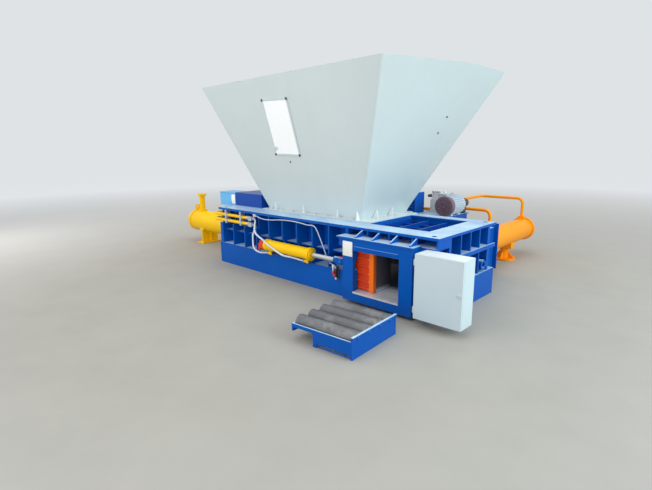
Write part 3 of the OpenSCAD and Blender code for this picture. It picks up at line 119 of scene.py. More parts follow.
class Nodes:
    """Adds and joins the nodes of one material. Its methods take and return sockets."""

    def __init__(self, name):
        self.mat = bpy.data.materials.new(name)
        self.mat.use_nodes = True
        self.tree = self.mat.node_tree
        self.tree.nodes.clear()
        self.bsdf = self.add("ShaderNodeBsdfPrincipled")
        out = self.add("ShaderNodeOutputMaterial")
        self.link(self.bsdf.outputs["BSDF"], out.inputs["Surface"])
        self.place = self.add("ShaderNodeTexCoord").outputs["Object"]

    def add(self, kind, **values):
        node = self.tree.nodes.new(kind)
        for key, value in values.items():
            setattr(node, key, value)
        return node

    def link(self, source, target):
        self.tree.links.new(source, target)

    def noise(self, scale, detail=4.0, rough=0.6, stretch=(1, 1, 1)):
        """Noise with a scale per metre; a smaller stretch makes it longer along that axis."""
        grid = self.add("ShaderNodeMapping")
        grid.inputs["Scale"].default_value = stretch
        self.link(self.place, grid.inputs["Vector"])
        tex = self.add("ShaderNodeTexNoise")
        tex.inputs["Scale"].default_value = scale
        tex.inputs["Detail"].default_value = detail
        tex.inputs["Roughness"].default_value = rough
        self.link(grid.outputs["Vector"], tex.inputs["Vector"])
        return tex.outputs["Fac"]

    def ramp(self, source, low, high, a=0.0, b=1.0):
        """Takes low to a and high to b, and holds both ends."""
        node = self.add("ShaderNodeMapRange")
        node.inputs["From Min"].default_value = low
        node.inputs["From Max"].default_value = high
        node.inputs["To Min"].default_value = a
        node.inputs["To Max"].default_value = b
        self.link(source, node.inputs["Value"])
        return node.outputs["Result"]

    def times(self, a, b):
        node = self.add("ShaderNodeMath", operation="MULTIPLY")
        self.link(a, node.inputs[0])
        self.link(b, node.inputs[1])
        return node.outputs["Value"]

    def mix(self, factor, a, b):
        """Mixes two colours, each a tuple or a socket."""
        node = self.add("ShaderNodeMix", data_type="RGBA")
        self.link(factor, node.inputs["Factor"])
        for index, value in ((MIX_A, a), (MIX_B, b)):
            if isinstance(value, tuple):
                node.inputs[index].default_value = (*value, 1.0)
            else:
                self.link(value, node.inputs[index])
        return node.outputs[MIX_RESULT]

    def along(self, vector, axis):
        """The X, Y or Z of a vector."""
        node = self.add("ShaderNodeSeparateXYZ")
        self.link(vector, node.inputs["Vector"])
        return node.outputs[axis]

    def normal(self):
        return self.add("ShaderNodeNewGeometry").outputs["Normal"]

    def relief(self, height, strength, distance):
        """Bump from a height; gives the bump node back."""
        bump = self.add("ShaderNodeBump")
        bump.inputs["Strength"].default_value = strength
        bump.inputs["Distance"].default_value = distance
        self.link(height, bump.inputs["Height"])
        self.link(bump.outputs["Normal"], self.bsdf.inputs["Normal"])
        return bump

    def round_edges(self, bump, radius):
        """Rounds the sharp edges in the shading; gives a value that drops below 1 along them."""
        bevel = self.add("ShaderNodeBevel", samples=4)
        bevel.inputs["Radius"].default_value = radius
        self.link(bevel.outputs["Normal"], bump.inputs["Normal"])
        facing = self.add("ShaderNodeVectorMath", operation="DOT_PRODUCT")
        self.link(bevel.outputs["Normal"], facing.inputs[0])
        self.link(self.normal(), facing.inputs[1])
        return facing.outputs["Value"]

    def colour(self, tone):
        self.link(tone, self.bsdf.inputs["Base Color"])

    def roughness(self, value):
        self.link(value, self.bsdf.inputs["Roughness"])

    def set(self, **values):
        """Sets inputs of the Principled node, with _ for the spaces in their names."""
        for key, value in values.items():
            self.bsdf.inputs[key.replace("_", " ")].default_value = value


def tint(colour, k):
    """A colour times k, kept within range."""
    return tuple(min(1.0, max(0.0, c * k)) for c in colour)


def painted(name, colour, rough=0.35, coat=0.3, patch=0.06, dust=0.25, dust_top=0.30, wear=0.35,
            peel=0.02, streaks=0.0, edge=0.003, edge_wear_and_highlight=0.35, shine=0.35, top_sheen=0.0,
            sheen_tone=(0.70, 0.90, 0.98), fade=None):
    """Sprayed enamel: cloudy tone, orange peel, chips, rubbed edges with a painted highlight,
    dust, and a painted sheen on faces that look up.

    patch     how far the tone wanders
    dust      amount near the floor, gone at the height dust_top
    top_sheen  amount of painted sheen on the faces that look up: a paler colour, sheen_tone,
    standing in for glare
    edge      radius of the rounded edges, in metres
    fade      (axis, start, end, colour): another colour beyond a place along an axis; painted shade on the door leaf, a deeper orange on the side cylinder
    """
    n = Nodes(name)
    cloud = n.noise(1.3, 3.0)
    tone = n.mix(n.ramp(cloud, 0.3, 0.7), tint(colour, 1 - patch), tint(colour, 1 + patch))
    if streaks:
        run = n.noise(9.0, 4.0, 0.6, (1, 1, 0.08))
        tone = n.mix(n.ramp(run, 0.45, 0.70, 0.0, streaks), tone, tint(colour, 0.72))
    # a second colour beyond a place; on the door leaf it is painted shade
    if fade:
        axis, start, end, other = fade
        tone = n.mix(n.ramp(n.along(n.place, axis), start, end), tone, other)
    # scratches and chips, only where a fine noise peaks
    chips = n.noise(38.0, 6.0, 0.75)
    tone = n.mix(n.ramp(chips, 0.70, 0.76, 0.0, wear), tone, CHIP_COLOUR)
    facing = n.round_edges(n.relief(n.noise(55.0, 3.0), peel * 5, 0.002), edge)
    # edges paler in patches: partly rubbed paint, partly a painted highlight
    worn_lit_edges = n.times(n.ramp(facing, 0.985, 0.90, 0.0, edge_wear_and_highlight),
                     n.ramp(n.noise(16.0, 4.0, 0.7), 0.35, 0.62))
    tone = n.mix(worn_lit_edges, tone, tuple(c + (WEAR_AND_HIGHLIGHT_GREY - c) * WEAR_AND_HIGHLIGHT_SHARE for c in colour))
    # painted sheen: faces that look up turn paler in patches, standing in for glare from above
    if top_sheen:
        sheen_mask = n.times(n.ramp(n.along(n.normal(), "Z"), 0.7, 0.95, 0.0, top_sheen),
                        n.ramp(n.noise(3.0, 5.0, 0.7), 0.30, 0.60, 0.6, 1.0))
        tone = n.mix(sheen_mask, tone, sheen_tone)
    settled = n.times(n.ramp(n.along(n.place, "Z"), dust_top, 0.0, 0.0, dust),
                      n.ramp(n.noise(7.0, 5.0, 0.7), 0.35, 0.65, 0.2, 1.0))
    n.colour(n.mix(settled, tone, DUST_COLOUR))
    n.roughness(n.ramp(cloud, 0.2, 0.8, rough - 0.06, rough + 0.10))
    n.set(Coat_Weight=coat, Coat_Roughness=0.12, Coat_IOR=1.5, Specular_IOR_Level=shine)
    return n.mat


def metal(name, colour, rough, stain, stain_amount, metallic, scale, stretch=(1, 1, 1),
          bump_mm=0.3, inner_shade=None):
    """Bare steel: grain along one direction, with stains.

    inner_shade  (height, start, end): painted shade inside the chamber, dark above a height, and
    beyond start to end along Y, in metres
    """
    n = Nodes(name)
    grain = n.noise(scale, 5.0, 0.7, stretch)
    tone = n.mix(n.ramp(grain, 0.3, 0.7), tint(colour, 0.82), tint(colour, 1.15))
    stained = n.ramp(n.noise(4.0, 6.0, 0.7), 0.48, 0.62, 0.0, stain_amount)
    tone = n.mix(stained, tone, stain)
    # painted shade: the steel turns dark above a height and deep along Y, where the chamber's
    # inside lies in shade
    if inner_shade:
        height, start, end = inner_shade
        above = n.ramp(n.along(n.place, "Z"), height, height + 0.05, 0.0, 0.93)
        tone = n.mix(above, tone, SHADE_COLOUR)
        beyond = n.ramp(n.along(n.place, "Y"), start, end, 0.0, 0.92)
        tone = n.mix(beyond, tone, SHADE_COLOUR)
    n.colour(tone)
    n.roughness(n.ramp(grain, 0.25, 0.75, rough - 0.08, rough + 0.14))
    n.relief(grain, 0.4, bump_mm / MM_PER_M)
    n.set(Metallic=metallic)
    return n.mat


def soft(name, colour, rough, scale=120.0, bump_mm=0.4, spread=0.09):
    """Rubber, cable sheath or moulded plastic; spread is how far the tone wanders."""
    n = Nodes(name)
    grain = n.noise(scale, 3.0, 0.5)
    n.colour(n.mix(n.ramp(grain, 0.3, 0.7), tint(colour, 1 - spread), tint(colour, 1 + spread)))
    n.roughness(n.ramp(grain, 0.2, 0.8, rough - 0.06, rough + 0.08))
    n.relief(grain, 0.35, bump_mm / MM_PER_M)
    return n.mat


PAINTS = {
    # the amounts and tones for faces that look up, below, are painted sheen
    "body_blue": dict(colour=(0.0005, 0.092, 0.44), rough=0.36, coat=0.03, dust=0.015, wear=0.08,
                      shine=0.10, top_sheen=0.78),
    "deep_blue": dict(colour=(0.001, 0.058, 0.34), coat=0.06, dust=0.0, shine=0.2),
    "light_blue": dict(colour=(0.13, 0.48, 0.86), coat=0.1, dust=0.0),
    "hopper_grey": dict(colour=(0.59, 0.66, 0.665), rough=0.38, coat=0.15, patch=0.02, dust=0.0,
                        wear=0.06, streaks=0.06, edge=0.006, edge_wear_and_highlight=0.5, top_sheen=0.8,
                        sheen_tone=(0.80, 0.86, 0.88)),
    "trim_white": dict(colour=(0.80, 0.83, 0.83), rough=0.45, coat=0.1, dust=0.0, wear=0.2),
    # beyond Y 0.9 to 1.2 m the cylinders turn a deeper orange
    "cylinder_orange": dict(colour=(1.0, 0.58, 0.001), coat=0.04, dust=0.02, wear=0.10,
                            edge_wear_and_highlight=0.1, shine=0.12, fade=("Y", 0.9, 1.2, (1.0, 0.34, 0.004))),
    # left of X 0.962 m the door leaf is a darker red: painted shade in its ribbed pockets
    "door_orange": dict(colour=(1.0, 0.17, 0.003), rough=0.38, coat=0.1, dust=0.1, wear=0.4,
                        fade=("X", 0.975, 0.962, (0.75, 0.05, 0.003))),
    "cabinet_grey": dict(colour=(0.60, 0.70, 0.74), rough=0.45, coat=0.10, patch=0.02, dust=0.08,
                         dust_top=0.16, wear=0.05, peel=0.05, edge=0.005, top_sheen=0.9,
                         sheen_tone=(0.86, 0.88, 0.88)),
    "motor_green": dict(colour=(0.50, 0.57, 0.64), rough=0.4, coat=0.1, dust=0.0),
    "cowl_maroon": dict(colour=(0.18, 0.10, 0.13), rough=0.4, coat=0.1, dust=0.0),
    "valve_beige": dict(colour=(0.90, 0.84, 0.72), rough=0.42, coat=0.1, dust=0.0),
}
METALS = {
    # inside the chamber this steel is darkened: painted shade
    "worn_steel": dict(colour=(0.88, 0.88, 0.90), rough=0.45, stain=(0.58, 0.55, 0.56),
                       stain_amount=0.5, metallic=0.15, scale=14.0, stretch=(1, 6, 1),
                       inner_shade=(0.142, -0.42, -0.30)),
    "blade_steel": dict(colour=(0.80, 0.81, 0.84), rough=0.40, stain=(0.55, 0.52, 0.50),
                        stain_amount=0.3, metallic=0.35, scale=18.0, stretch=(8, 1, 1)),
    "ram_steel": dict(colour=(0.13, 0.13, 0.14), rough=0.5, stain=(0.09, 0.06, 0.05),
                      stain_amount=0.5, metallic=0.7, scale=16.0, stretch=(5, 1, 1), bump_mm=0.6),
    "chrome_rod": dict(colour=(0.80, 0.81, 0.83), rough=0.14, stain=(0.62, 0.62, 0.62),
                       stain_amount=0.2, metallic=1.0, scale=20.0, stretch=(1, 14, 14),
                       bump_mm=0.02),
    "roller_steel": dict(colour=(0.17, 0.17, 0.18), rough=0.42, stain=(0.34, 0.33, 0.33),
                         stain_amount=0.55, metallic=0.45, scale=12.0, stretch=(1, 9, 9),
                         bump_mm=0.8),
    "bare_plate": dict(colour=(0.97, 0.95, 0.84), rough=0.35, stain=(0.8, 0.8, 0.75),
                       stain_amount=0.2, metallic=0.1, scale=40.0, stretch=(10, 1, 1),
                       bump_mm=0.05),
    "pump_iron": dict(colour=(0.12, 0.12, 0.125), rough=0.55, stain=(0.08, 0.06, 0.05),
                      stain_amount=0.5, metallic=0.7, scale=60.0, bump_mm=0.8),
    "fitting_steel": dict(colour=(0.60, 0.66, 0.74), rough=0.36, stain=(0.45, 0.46, 0.5),
                          stain_amount=0.3, metallic=0.75, scale=40.0),
}
SOFTS = {
    "window_white": dict(colour=(0.98, 0.99, 1.0), rough=0.22, scale=40.0, bump_mm=0.05,
                         spread=0.01),
    "switch_red": dict(colour=(0.70, 0.03, 0.02), rough=0.5),
    "hose_grey": dict(colour=(0.66, 0.70, 0.76), rough=0.45, scale=160.0, bump_mm=0.5),
    "cable_grey": dict(colour=(0.50, 0.56, 0.68), rough=0.5, scale=90.0),
}
MATERIALS = {}
for make, recipes in ((painted, PAINTS), (metal, METALS), (soft, SOFTS)):
    for slot, recipe in recipes.items():
        MATERIALS[slot] = make(slot, **recipe)

ROW_SLOT = {s["node"]: s["material_slot"] for s in frame["record"]["subparts"]}
for name, node in NODES.items():
    node.data.materials.clear()
    node.data.materials.append(MATERIALS[ROW_SLOT[name]])

# --- cords, along the same routes in millimetres as in the part's source ----------------------

HOSE_D = 0.022
CABLE_D = 0.012
HOSE_UPPER = [(-970, -560, 675), (-955, -560, 675), (-923, -567, 673), (-890, -583, 667),
              (-861, -604, 656), (-836, -627, 639), (-817, -648, 614), (-803, -664, 583),
              (-785, -675, 551), (-758, -682, 526), (-725, -685, 509), (-690, -688, 495),
              (-654, -691, 484), (-618, -695, 473), (-582, -701, 461), (-547, -707, 449),
              (-512, -712, 437), (-476, -715, 425), (-441, -717, 413), (-405, -716, 400),
              (-370, -714, 386), (-336, -711, 370), (-302, -706, 355), (-267, -699, 341),
              (-232, -691, 332), (-196, -679, 327), (-161, -665, 323), (-127, -650, 318),
              (-90, -642, 314), (-53, -640, 312), (-17, -640, 310), (17, -636, 308),
              (48, -634, 307), (60, -634, 307)]
HOSE_LOWER = [(-970, -560, 597), (-955, -560, 597), (-935, -563, 597), (-910, -571, 596),
              (-888, -583, 593), (-867, -598, 589), (-848, -614, 583), (-832, -632, 573),
              (-820, -650, 560), (-812, -666, 542), (-808, -680, 521), (-807, -690, 497),
              (-806, -693, 471), (-805, -694, 446), (-802, -696, 420), (-796, -700, 396),
              (-786, -706, 373), (-771, -710, 353), (-752, -710, 335), (-733, -705, 319),
              (-711, -696, 308), (-690, -683, 300), (-669, -669, 297), (-648, -657, 296),
              (-626, -644, 298), (-606, -637, 300), (-587, -634, 300), (-575, -634, 300)]
CABLE = [(-865, -592, 722), (-838, -592, 722), (-790, -598, 712), (-720, -600, 702),
         (-640, -601, 700), (-520, -601, 708), (-400, -601, 722), (-260, -601, 730),
         (-120, -601, 730), (0, -601, 722), (80, -601, 714), (150, -602, 718), (200, -603, 706),
         (240, -606, 662), (272, -603, 600), (304, -598, 530), (338, -597, 460), (372, -597, 398),
         (414, -603, 350), (462, -613, 334), (498, -621, 332), (518, -622, 322), (520, -622, 311),
         (520, -622, 300)]


def smooth(points, steps=4):
    """A Catmull-Rom line through the points, so that bends are round."""
    p = [points[0]] + list(points) + [points[-1]]
    line = []
    for a, b, c, d in zip(p, p[1:], p[2:], p[3:]):
        for i in range(steps):
            t = i / steps
            line.append(0.5 * (2 * b + (c - a) * t + (2 * a - 5 * b + 4 * c - d) * t ** 2
                               + (3 * b - a - 3 * c + d) * t ** 3))
    return line + [points[-1]]


def add_cord(name, node, points, diameter, material):
    """A round cord along a smooth line, in metres; gives the line back for its end fittings."""
    line = smooth([Vector(p) / MM_PER_M for p in points])
    data = bpy.data.curves.new(name, "CURVE")
    data.dimensions = "3D"
    data.bevel_depth = diameter / 2
    data.bevel_resolution = 4
    data.use_fill_caps = True
    spline = data.splines.new("POLY")
    spline.points.add(len(line) - 1)
    for point, place in zip(spline.points, line):
        point.co = (*place, 1.0)
    piece = bpy.data.objects.new(name, data)
    bpy.context.scene.collection.objects.link(piece)
    data.materials.append(MATERIALS[material])
    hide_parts(node)
    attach(piece, "frame")
    return line


upper_line = add_cord("upper_hose", "hose_upper", HOSE_UPPER, HOSE_D, "hose_grey")
lower_line = add_cord("lower_hose", "hose_lower", HOSE_LOWER, HOSE_D, "hose_grey")
cable_line = add_cord("sensor_cable", "switch_cable", CABLE, CABLE_D, "cable_grey")

# --- shapes for the fine pieces, in millimetres -----------------------------------------------


def circle(centre, a, b, radius, count, phase=0.0):
    """Points round a centre in the plane of two axes; phase is a share of one step."""
    turns = [(k + phase) * math.tau / count for k in range(count)]
    return [Vector([c + (p * math.cos(t) + q * math.sin(t)) * radius
                    for c, p, q in zip(centre, a, b)]) for t in turns]


class Shape:
    """Gathers turned, swept and boxed forms into one mesh."""

    def __init__(self, place=None):
        self.bm = bmesh.new()
        self.place = place or Matrix.Identity(4)

    def ring(self, centre, a, b, radius, n):
        return [self.bm.verts.new(self.place @ p) for p in circle(centre, a, b, radius, n)]

    def strip(self, low, high):
        """Faces between two rings."""
        n = len(low)
        for k in range(n):
            self.bm.faces.new((low[k], low[(k + 1) % n], high[(k + 1) % n], high[k]))

    def skin(self, rings, caps=True, closed=False):
        """Faces along a row of rings, capped at its ends or closed on itself."""
        for low, high in zip(rings, rings[1:]):
            self.strip(low, high)
        if closed:
            self.strip(rings[-1], rings[0])
        elif caps:
            self.bm.faces.new(rings[0][::-1])
            self.bm.faces.new(rings[-1])

    def turned(self, at, axis, profile, n=32):
        """A form turned about an axis; profile holds (distance along it, radius) pairs."""
        at, axis = Vector(at), Vector(axis).normalized()
        a = axis.orthogonal().normalized()
        b = axis.cross(a)
        self.skin([self.ring(at + axis * x, a, b, r, n) for x, r in profile])

    def hexagon(self, at, axis, across, height, dome=0.12):
        """A bolt head or nut, across its flats, with a chamfered top."""
        r = across / 2 / math.cos(math.pi / 6)
        self.turned(at, axis, ((0, r), (height * (1 - dome), r), (height, r * 0.86)), 6)

    def box(self, low, high, edge=0.0):
        """A box between two corners, with rounded edges."""
        low, high = Vector(low), Vector(high)
        middle = Matrix.Translation((low + high) / 2)
        grid = self.place @ middle @ Matrix.Diagonal((*(high - low), 1))
        made = bmesh.ops.create_cube(self.bm, size=1.0, matrix=grid)
        if edge:
            edges = {e for v in made["verts"] for e in v.link_edges}
            bmesh.ops.bevel(self.bm, geom=list(edges), offset=edge, segments=2, affect="EDGES",
                            profile=0.5)

    def swept(self, line, radius, n=8, ripple=0.0, closed=False):
        """A tube along a line; ripple makes the scales of a weld bead."""
        line = [Vector(p) for p in line]
        count = len(line)
        side = None
        rings = []
        for i, p in enumerate(line):
            if closed:
                along = (line[(i + 1) % count] - line[i - 1]).normalized()
            else:
                along = (line[min(i + 1, count - 1)] - line[max(i - 1, 0)]).normalized()
            if side is None:
                side = along.orthogonal().normalized()
            side = (side - along * side.dot(along)).normalized()
            r = radius * (1 + (ripple if i % 2 else -ripple))
            rings.append(self.ring(p, side, along.cross(side), r, n))
        self.skin(rings, closed=closed)

    def bead(self, a, b, radius=5.0, step=11.0):
        """A weld bead between two points."""
        a, b = Vector(a), Vector(b)
        count = max(2, round((b - a).length / step))
        self.swept([a.lerp(b, i / count) for i in range(count + 1)], radius, 6, 0.14)

    def bead_ring(self, centre, a, b, radius, bead, count):
        """A weld bead round a barrel."""
        self.swept(circle(centre, a, b, radius, count), bead, 6, 0.12, closed=True)

    def mesh(self, name):
        """The mesh in metres, with its normals out; ends the shape."""
        data = bpy.data.meshes.new(name)
        bmesh.ops.scale(self.bm, vec=(1 / MM_PER_M,) * 3, verts=self.bm.verts)
        bmesh.ops.recalc_face_normals(self.bm, faces=self.bm.faces)
        self.bm.to_mesh(data)
        self.bm.free()
        return data

    def done(self, name, slot, body="frame", replaced=None):
        add_piece(name, self.mesh(name), slot, body, replaced)


def add_piece(name, data, slot, body="frame", replaced=None, angle=38.0):
    """Adds a mesh as a piece; its edges stay sharp beyond the angle, in degrees."""
    data.shade_smooth()
    data.set_sharp_from_angle(angle=math.radians(angle))
    piece = bpy.data.objects.new(name, data)
    bpy.context.scene.collection.objects.link(piece)
    data.materials.append(MATERIALS[slot])
    if replaced:
        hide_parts(replaced)
    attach(piece, body)


# --- hopper: smooth twisted panels of bent sheet ----------------------------------------------

HOPPER_LOW, HOPPER_HIGH = box_mm("hopper_shell")
HOPPER_X = (HOPPER_LOW[0] + HOPPER_HIGH[0]) / 2
HOPPER_Z = HOPPER_LOW[2]
HOPPER_RISE = HOPPER_HIGH[2] - HOPPER_Z
# sizes at the foot and at the rim
NEAR_HALF = (785, 1405)
FAR_HALF = (785, HOPPER_HIGH[0] - HOPPER_X)
NEAR_Y = (-275, HOPPER_LOW[1])
CORNER_Y = (555, 184)
FAR_Y = (575, HOPPER_HIGH[1])
SLOPE = math.atan((NEAR_Y[0] - NEAR_Y[1]) / HOPPER_RISE)
SHEET = 8.0
BEND_R = 30.0
HOPPER_ROWS = 30
HOPPER_SHARP = 24.0

# sight window: its place from the near panel's foot, its turn, and half its cut-out
WINDOW_X = -105
WINDOW_UP = 1045
WINDOW_TURN = math.radians(-2)
CUT_HALF = (176, 286, 24)
BOLT_HALF = (201, 311)


def hopper_outline(share, inset):
    """Outline at a share of the height, from the same sizes as the part's source."""
    near_half, far_half, near, corner, far = (
        foot + (rim - foot) * share
        for foot, rim in (NEAR_HALF, FAR_HALF, NEAR_Y, CORNER_Y, FAR_Y))
    a, b = near_half - inset, far_half - inset
    near, corner, far = near + inset, corner - inset, far - inset
    flat = ((-a, near), (a, near), (b, corner), (b, far), (-b, far), (-b, corner))
    return [Vector((HOPPER_X + x, y, HOPPER_Z + HOPPER_RISE * share)) for x, y in flat]


def bent(outline, radius, steps=5, lengths=10):
    """Rounds the outline's corners as bent sheet, and cuts each side into equal lengths."""
    arcs = []
    for p, before, after in zip(outline, outline[-1:] + outline[:-1], outline[1:] + outline[:1]):
        a, b = before - p, after - p
        back = radius / math.tan(max(a.angle(b), 0.1) / 2)
        back = min(max(back, 1.5), 0.4 * a.length, 0.4 * b.length)
        start, end = p + a.normalized() * back, p + b.normalized() * back
        arcs.append([start.lerp(p, k / steps).lerp(p.lerp(end, k / steps), k / steps)
                     for k in range(steps + 1)])
    line = []
    for arc, after in zip(arcs, arcs[1:] + arcs[:1]):
        line += arc + [arc[-1].lerp(after[0], k / lengths) for k in range(1, lengths)]
    return line


def on_near_panel():
    """Matrix of the sight window: X along the panel, Y up its slope, Z out of it."""
    return (Matrix.Translation((HOPPER_X + WINDOW_X, NEAR_Y[0], HOPPER_Z))
            @ Matrix.Rotation(math.pi / 2 + SLOPE, 4, "X")
            @ Matrix.Translation((0, WINDOW_UP, 0)) @ Matrix.Rotation(WINDOW_TURN, 4, "Z"))


def cut_away(body, tool):
    """The mesh of body without tool."""
    pair = []
    for data in (body, tool):
        pair.append(bpy.data.objects.new(data.name, data))
        bpy.context.scene.collection.objects.link(pair[-1])
    cut = pair[0].modifiers.new("cut", "BOOLEAN")
    cut.operation = "DIFFERENCE"
    cut.solver = "EXACT"
    cut.object = pair[1]
    ready = pair[0].evaluated_get(bpy.context.evaluated_depsgraph_get())
    data = bpy.data.meshes.new_from_object(ready)
    for item in pair:
        bpy.data.objects.remove(item)
    return data


def add_hopper():
    """The hopper as two skins of sheet, joined at foot and rim, with the window cut through."""
    shape = Shape()

    def skin(inset):
        rows = [bent(hopper_outline(k / HOPPER_ROWS, inset), BEND_R - inset)
                for k in range(HOPPER_ROWS + 1)]
        return [[shape.bm.verts.new(p) for p in row] for row in rows]

    outer, inner = skin(0.0), skin(SHEET)
    shape.skin(outer, caps=False)
    shape.skin([row[::-1] for row in inner], caps=False)
    shape.strip(inner[0], outer[0])
    shape.strip(outer[-1], inner[-1])
    cutter = Shape(on_near_panel())
    cutter.box([-half for half in CUT_HALF], CUT_HALF)
    data = cut_away(shape.mesh("hopper_raw"), cutter.mesh("window_cut"))
    data.materials.clear()
    data.name = "hopper_skin"
    add_piece("hopper_skin", data, "hopper_grey", "frame", "hopper_shell", HOPPER_SHARP)


def add_hopper_trim():
    """Weld at the foot, bolts round the window, and plugs in the panels."""
    seams = Shape()
    foot = hopper_outline(0.0, -2.0)
    foot = [foot[0], foot[1], foot[3], foot[4]]
    for a, b in zip(foot, foot[1:] + foot[:1]):
        seams.bead(a + Z * 2, b + Z * 2)
    seams.done("hopper_seams", "hopper_grey")

    bolts = Shape(on_near_panel())
    half_x, half_y = BOLT_HALF
    for x in (-half_x, half_x):
        for y in (-half_y, half_y):
            bolts.turned((x, y, 8), Z, ((0, 15), (1.6, 15), (2.0, 14)), 24)
            bolts.turned((x, y, 9.5), Z,
                         ((0, 10.6), (4, 10.6), (8, 8.6), (10, 4.5), (10.6, 1.5)), 20)
    bolts.done("window_bolts", "pump_iron")

    plugs = Shape(on_near_panel())
    plugs.turned((10, -398, 0.02), Z, ((0, 11), (3, 11), (5, 8), (5.2, 3)), 20)
    plugs.place = Matrix.Identity(4)
    # two more on the end panel, at shares of its height and of its width
    for share, across in ((0.595, 0.94), (0.696, 0.968)):
        low, high = hopper_outline(share, 0.0), hopper_outline(share + 0.01, 0.0)
        at = low[1].lerp(low[2], across)
        out = (low[2] - low[1]).cross(high[1] - low[1]).normalized()
        plugs.turned(at - out * 2, out, ((0, 10), (6, 10), (8, 8), (8.2, 3)), 20)
    plugs.done("panel_plugs", "pump_iron")


add_hopper()
add_hopper_trim()

# --- hydraulics -------------------------------------------------------------------------------

BODY_LOW, BODY_HIGH = box_mm("base_frame")
BODY_NEAR_Y = BODY_LOW[1]
# the pipes end where the hoses start
PIPE_Y = HOSE_UPPER[0][1]
PIPE_Z = (HOSE_UPPER[0][2], HOSE_LOWER[0][2])
# places in the part's source that the fine pieces seat on
PIPE_UNION_X = -1030
PIPE_WELD_X = -1076
CLAMP_X = (-1533, -1203)
CLAMP_BOLT_Z = (586, 636, 724)
# axes of the barrels, and the radii of the welds round them
_, MAIN_Y, MAIN_Z = middle_mm("main_cylinder_flange")
SIDE_X, _, SIDE_Z = middle_mm("side_cylinder_flange")
_, DOOR_Y, DOOR_Z = middle_mm("door_clevis")
MAIN_R, SIDE_R, DOOR_R = 171, 151, 65.5
# upright port of the main barrel, and the top of its flange
PORT_X = -3200
PORT_Z = box_mm("main_cylinder")[1][2]


def add_hose_fittings():
    """Sleeves and nuts on the hoses' ends, and glands on the cable's."""
    sleeve_r, nut = 14.5, 34
    ends = Shape()
    for line in (upper_line, lower_line):
        line = [p * MM_PER_M for p in line]
        for end in (line[:9], line[:-9:-1]):
            ends.swept(end[2:8], sleeve_r, 16)
            along = (end[1] - end[0]).normalized()
            ends.hexagon(end[0] + along * 0.3, along, nut, 15)
    for at, way in ((cable_line[0] * MM_PER_M, X), (cable_line[-1] * MM_PER_M, Z)):
        ends.turned(at, way, ((0, 11), (9, 11), (13, 8.5), (14, 7)), 16)
    ends.done("hose_ends", "fitting_steel")


def add_pipe_trim():
    """Clamp bolts and nuts of the pipes, weld rings on the barrels, and grease nipples."""
    nuts = Shape()
    washer = 2
    for x in CLAMP_X:
        for z in CLAMP_BOLT_Z:
            nuts.turned((x, BODY_NEAR_Y, z), -Y, ((0, 12), (washer, 12)), 20)
            nuts.hexagon((x, BODY_NEAR_Y - washer, z), -Y, 17, 8)
    for z in PIPE_Z:
        nuts.hexagon((PIPE_UNION_X, PIPE_Y, z), -X, 58, 26)
        nuts.turned((PIPE_WELD_X, PIPE_Y, z), X, ((0, 25), (2, 27), (18, 27), (20, 25)), 32)
    nuts.done("pipe_nuts", "fitting_steel")

    welds = Shape()
    for x in (-1759, -3338):
        welds.bead_ring((x, MAIN_Y, MAIN_Z), Y, Z, MAIN_R, 5.0, 96)
    for y in (1342, 2752):
        welds.bead_ring((SIDE_X, y, SIDE_Z), X, Z, SIDE_R, 4.5, 84)
    for x in (-558, 133):
        welds.bead_ring((x, DOOR_Y, DOOR_Z), Y, Z, DOOR_R, 3.0, 44)
    # studs on the main cylinder's upright port
    for at in circle((PORT_X, MAIN_Y, PORT_Z), X, Y, 60, 6, phase=0.5):
        welds.hexagon(at, Z, 19, 10)
        welds.turned(at + Z * 9.5, Z, ((0, 6), (7, 6), (8, 5)), 14)
    welds.done("barrel_welds", "cylinder_orange")

    nipples = Shape()
    for at, way in (((-650, DOOR_Y, 440), Z), ((620, -672, DOOR_Z), -Y),
                    ((PORT_X, MAIN_Y - 60, 520), -Y)):
        nipples.turned(at, way, ((0, 5), (4, 5), (5, 3.5), (9, 3.5), (11, 2.2), (12, 2.2)), 12)
    nipples.done("grease_nipples", "fitting_steel")


add_hose_fittings()
add_pipe_trim()

# --- plates, switch and cabinet ---------------------------------------------------------------


def add_plate(name, x, y, z, w, h, slot):
    """A thin plate facing -Y from its lower left corner, bare but for four rivets."""
    thick, inset = 1.6, 9
    shape = Shape()
    shape.box((x, y - thick, z), (x + w, y, z + h), 0.5)
    for i in (x + inset, x + w - inset):
        for k in (z + inset, z + h - inset):
            shape.turned((i, y - 1.5, k), -Y, ((0, 3.5), (1.0, 3.2), (1.8, 1.5)), 10)
    shape.done(name, slot)


def add_jamb_liner():
    """Wear plate on the outlet's left side, with countersunk bolts."""
    x0, x1 = 1030.1, 1031.6
    liner = Shape()
    liner.box((x0, -586, 143), (x1, -358, 572), 0.4)
    for y in (-560, -384):
        for z in (200, 357, 514):
            liner.turned((x1 - 0.2, y, z), X, ((0, 11), (0.4, 11), (0.3, 7), (0.25, 3)), 20)
    liner.done("jamb_liner", "worn_steel")


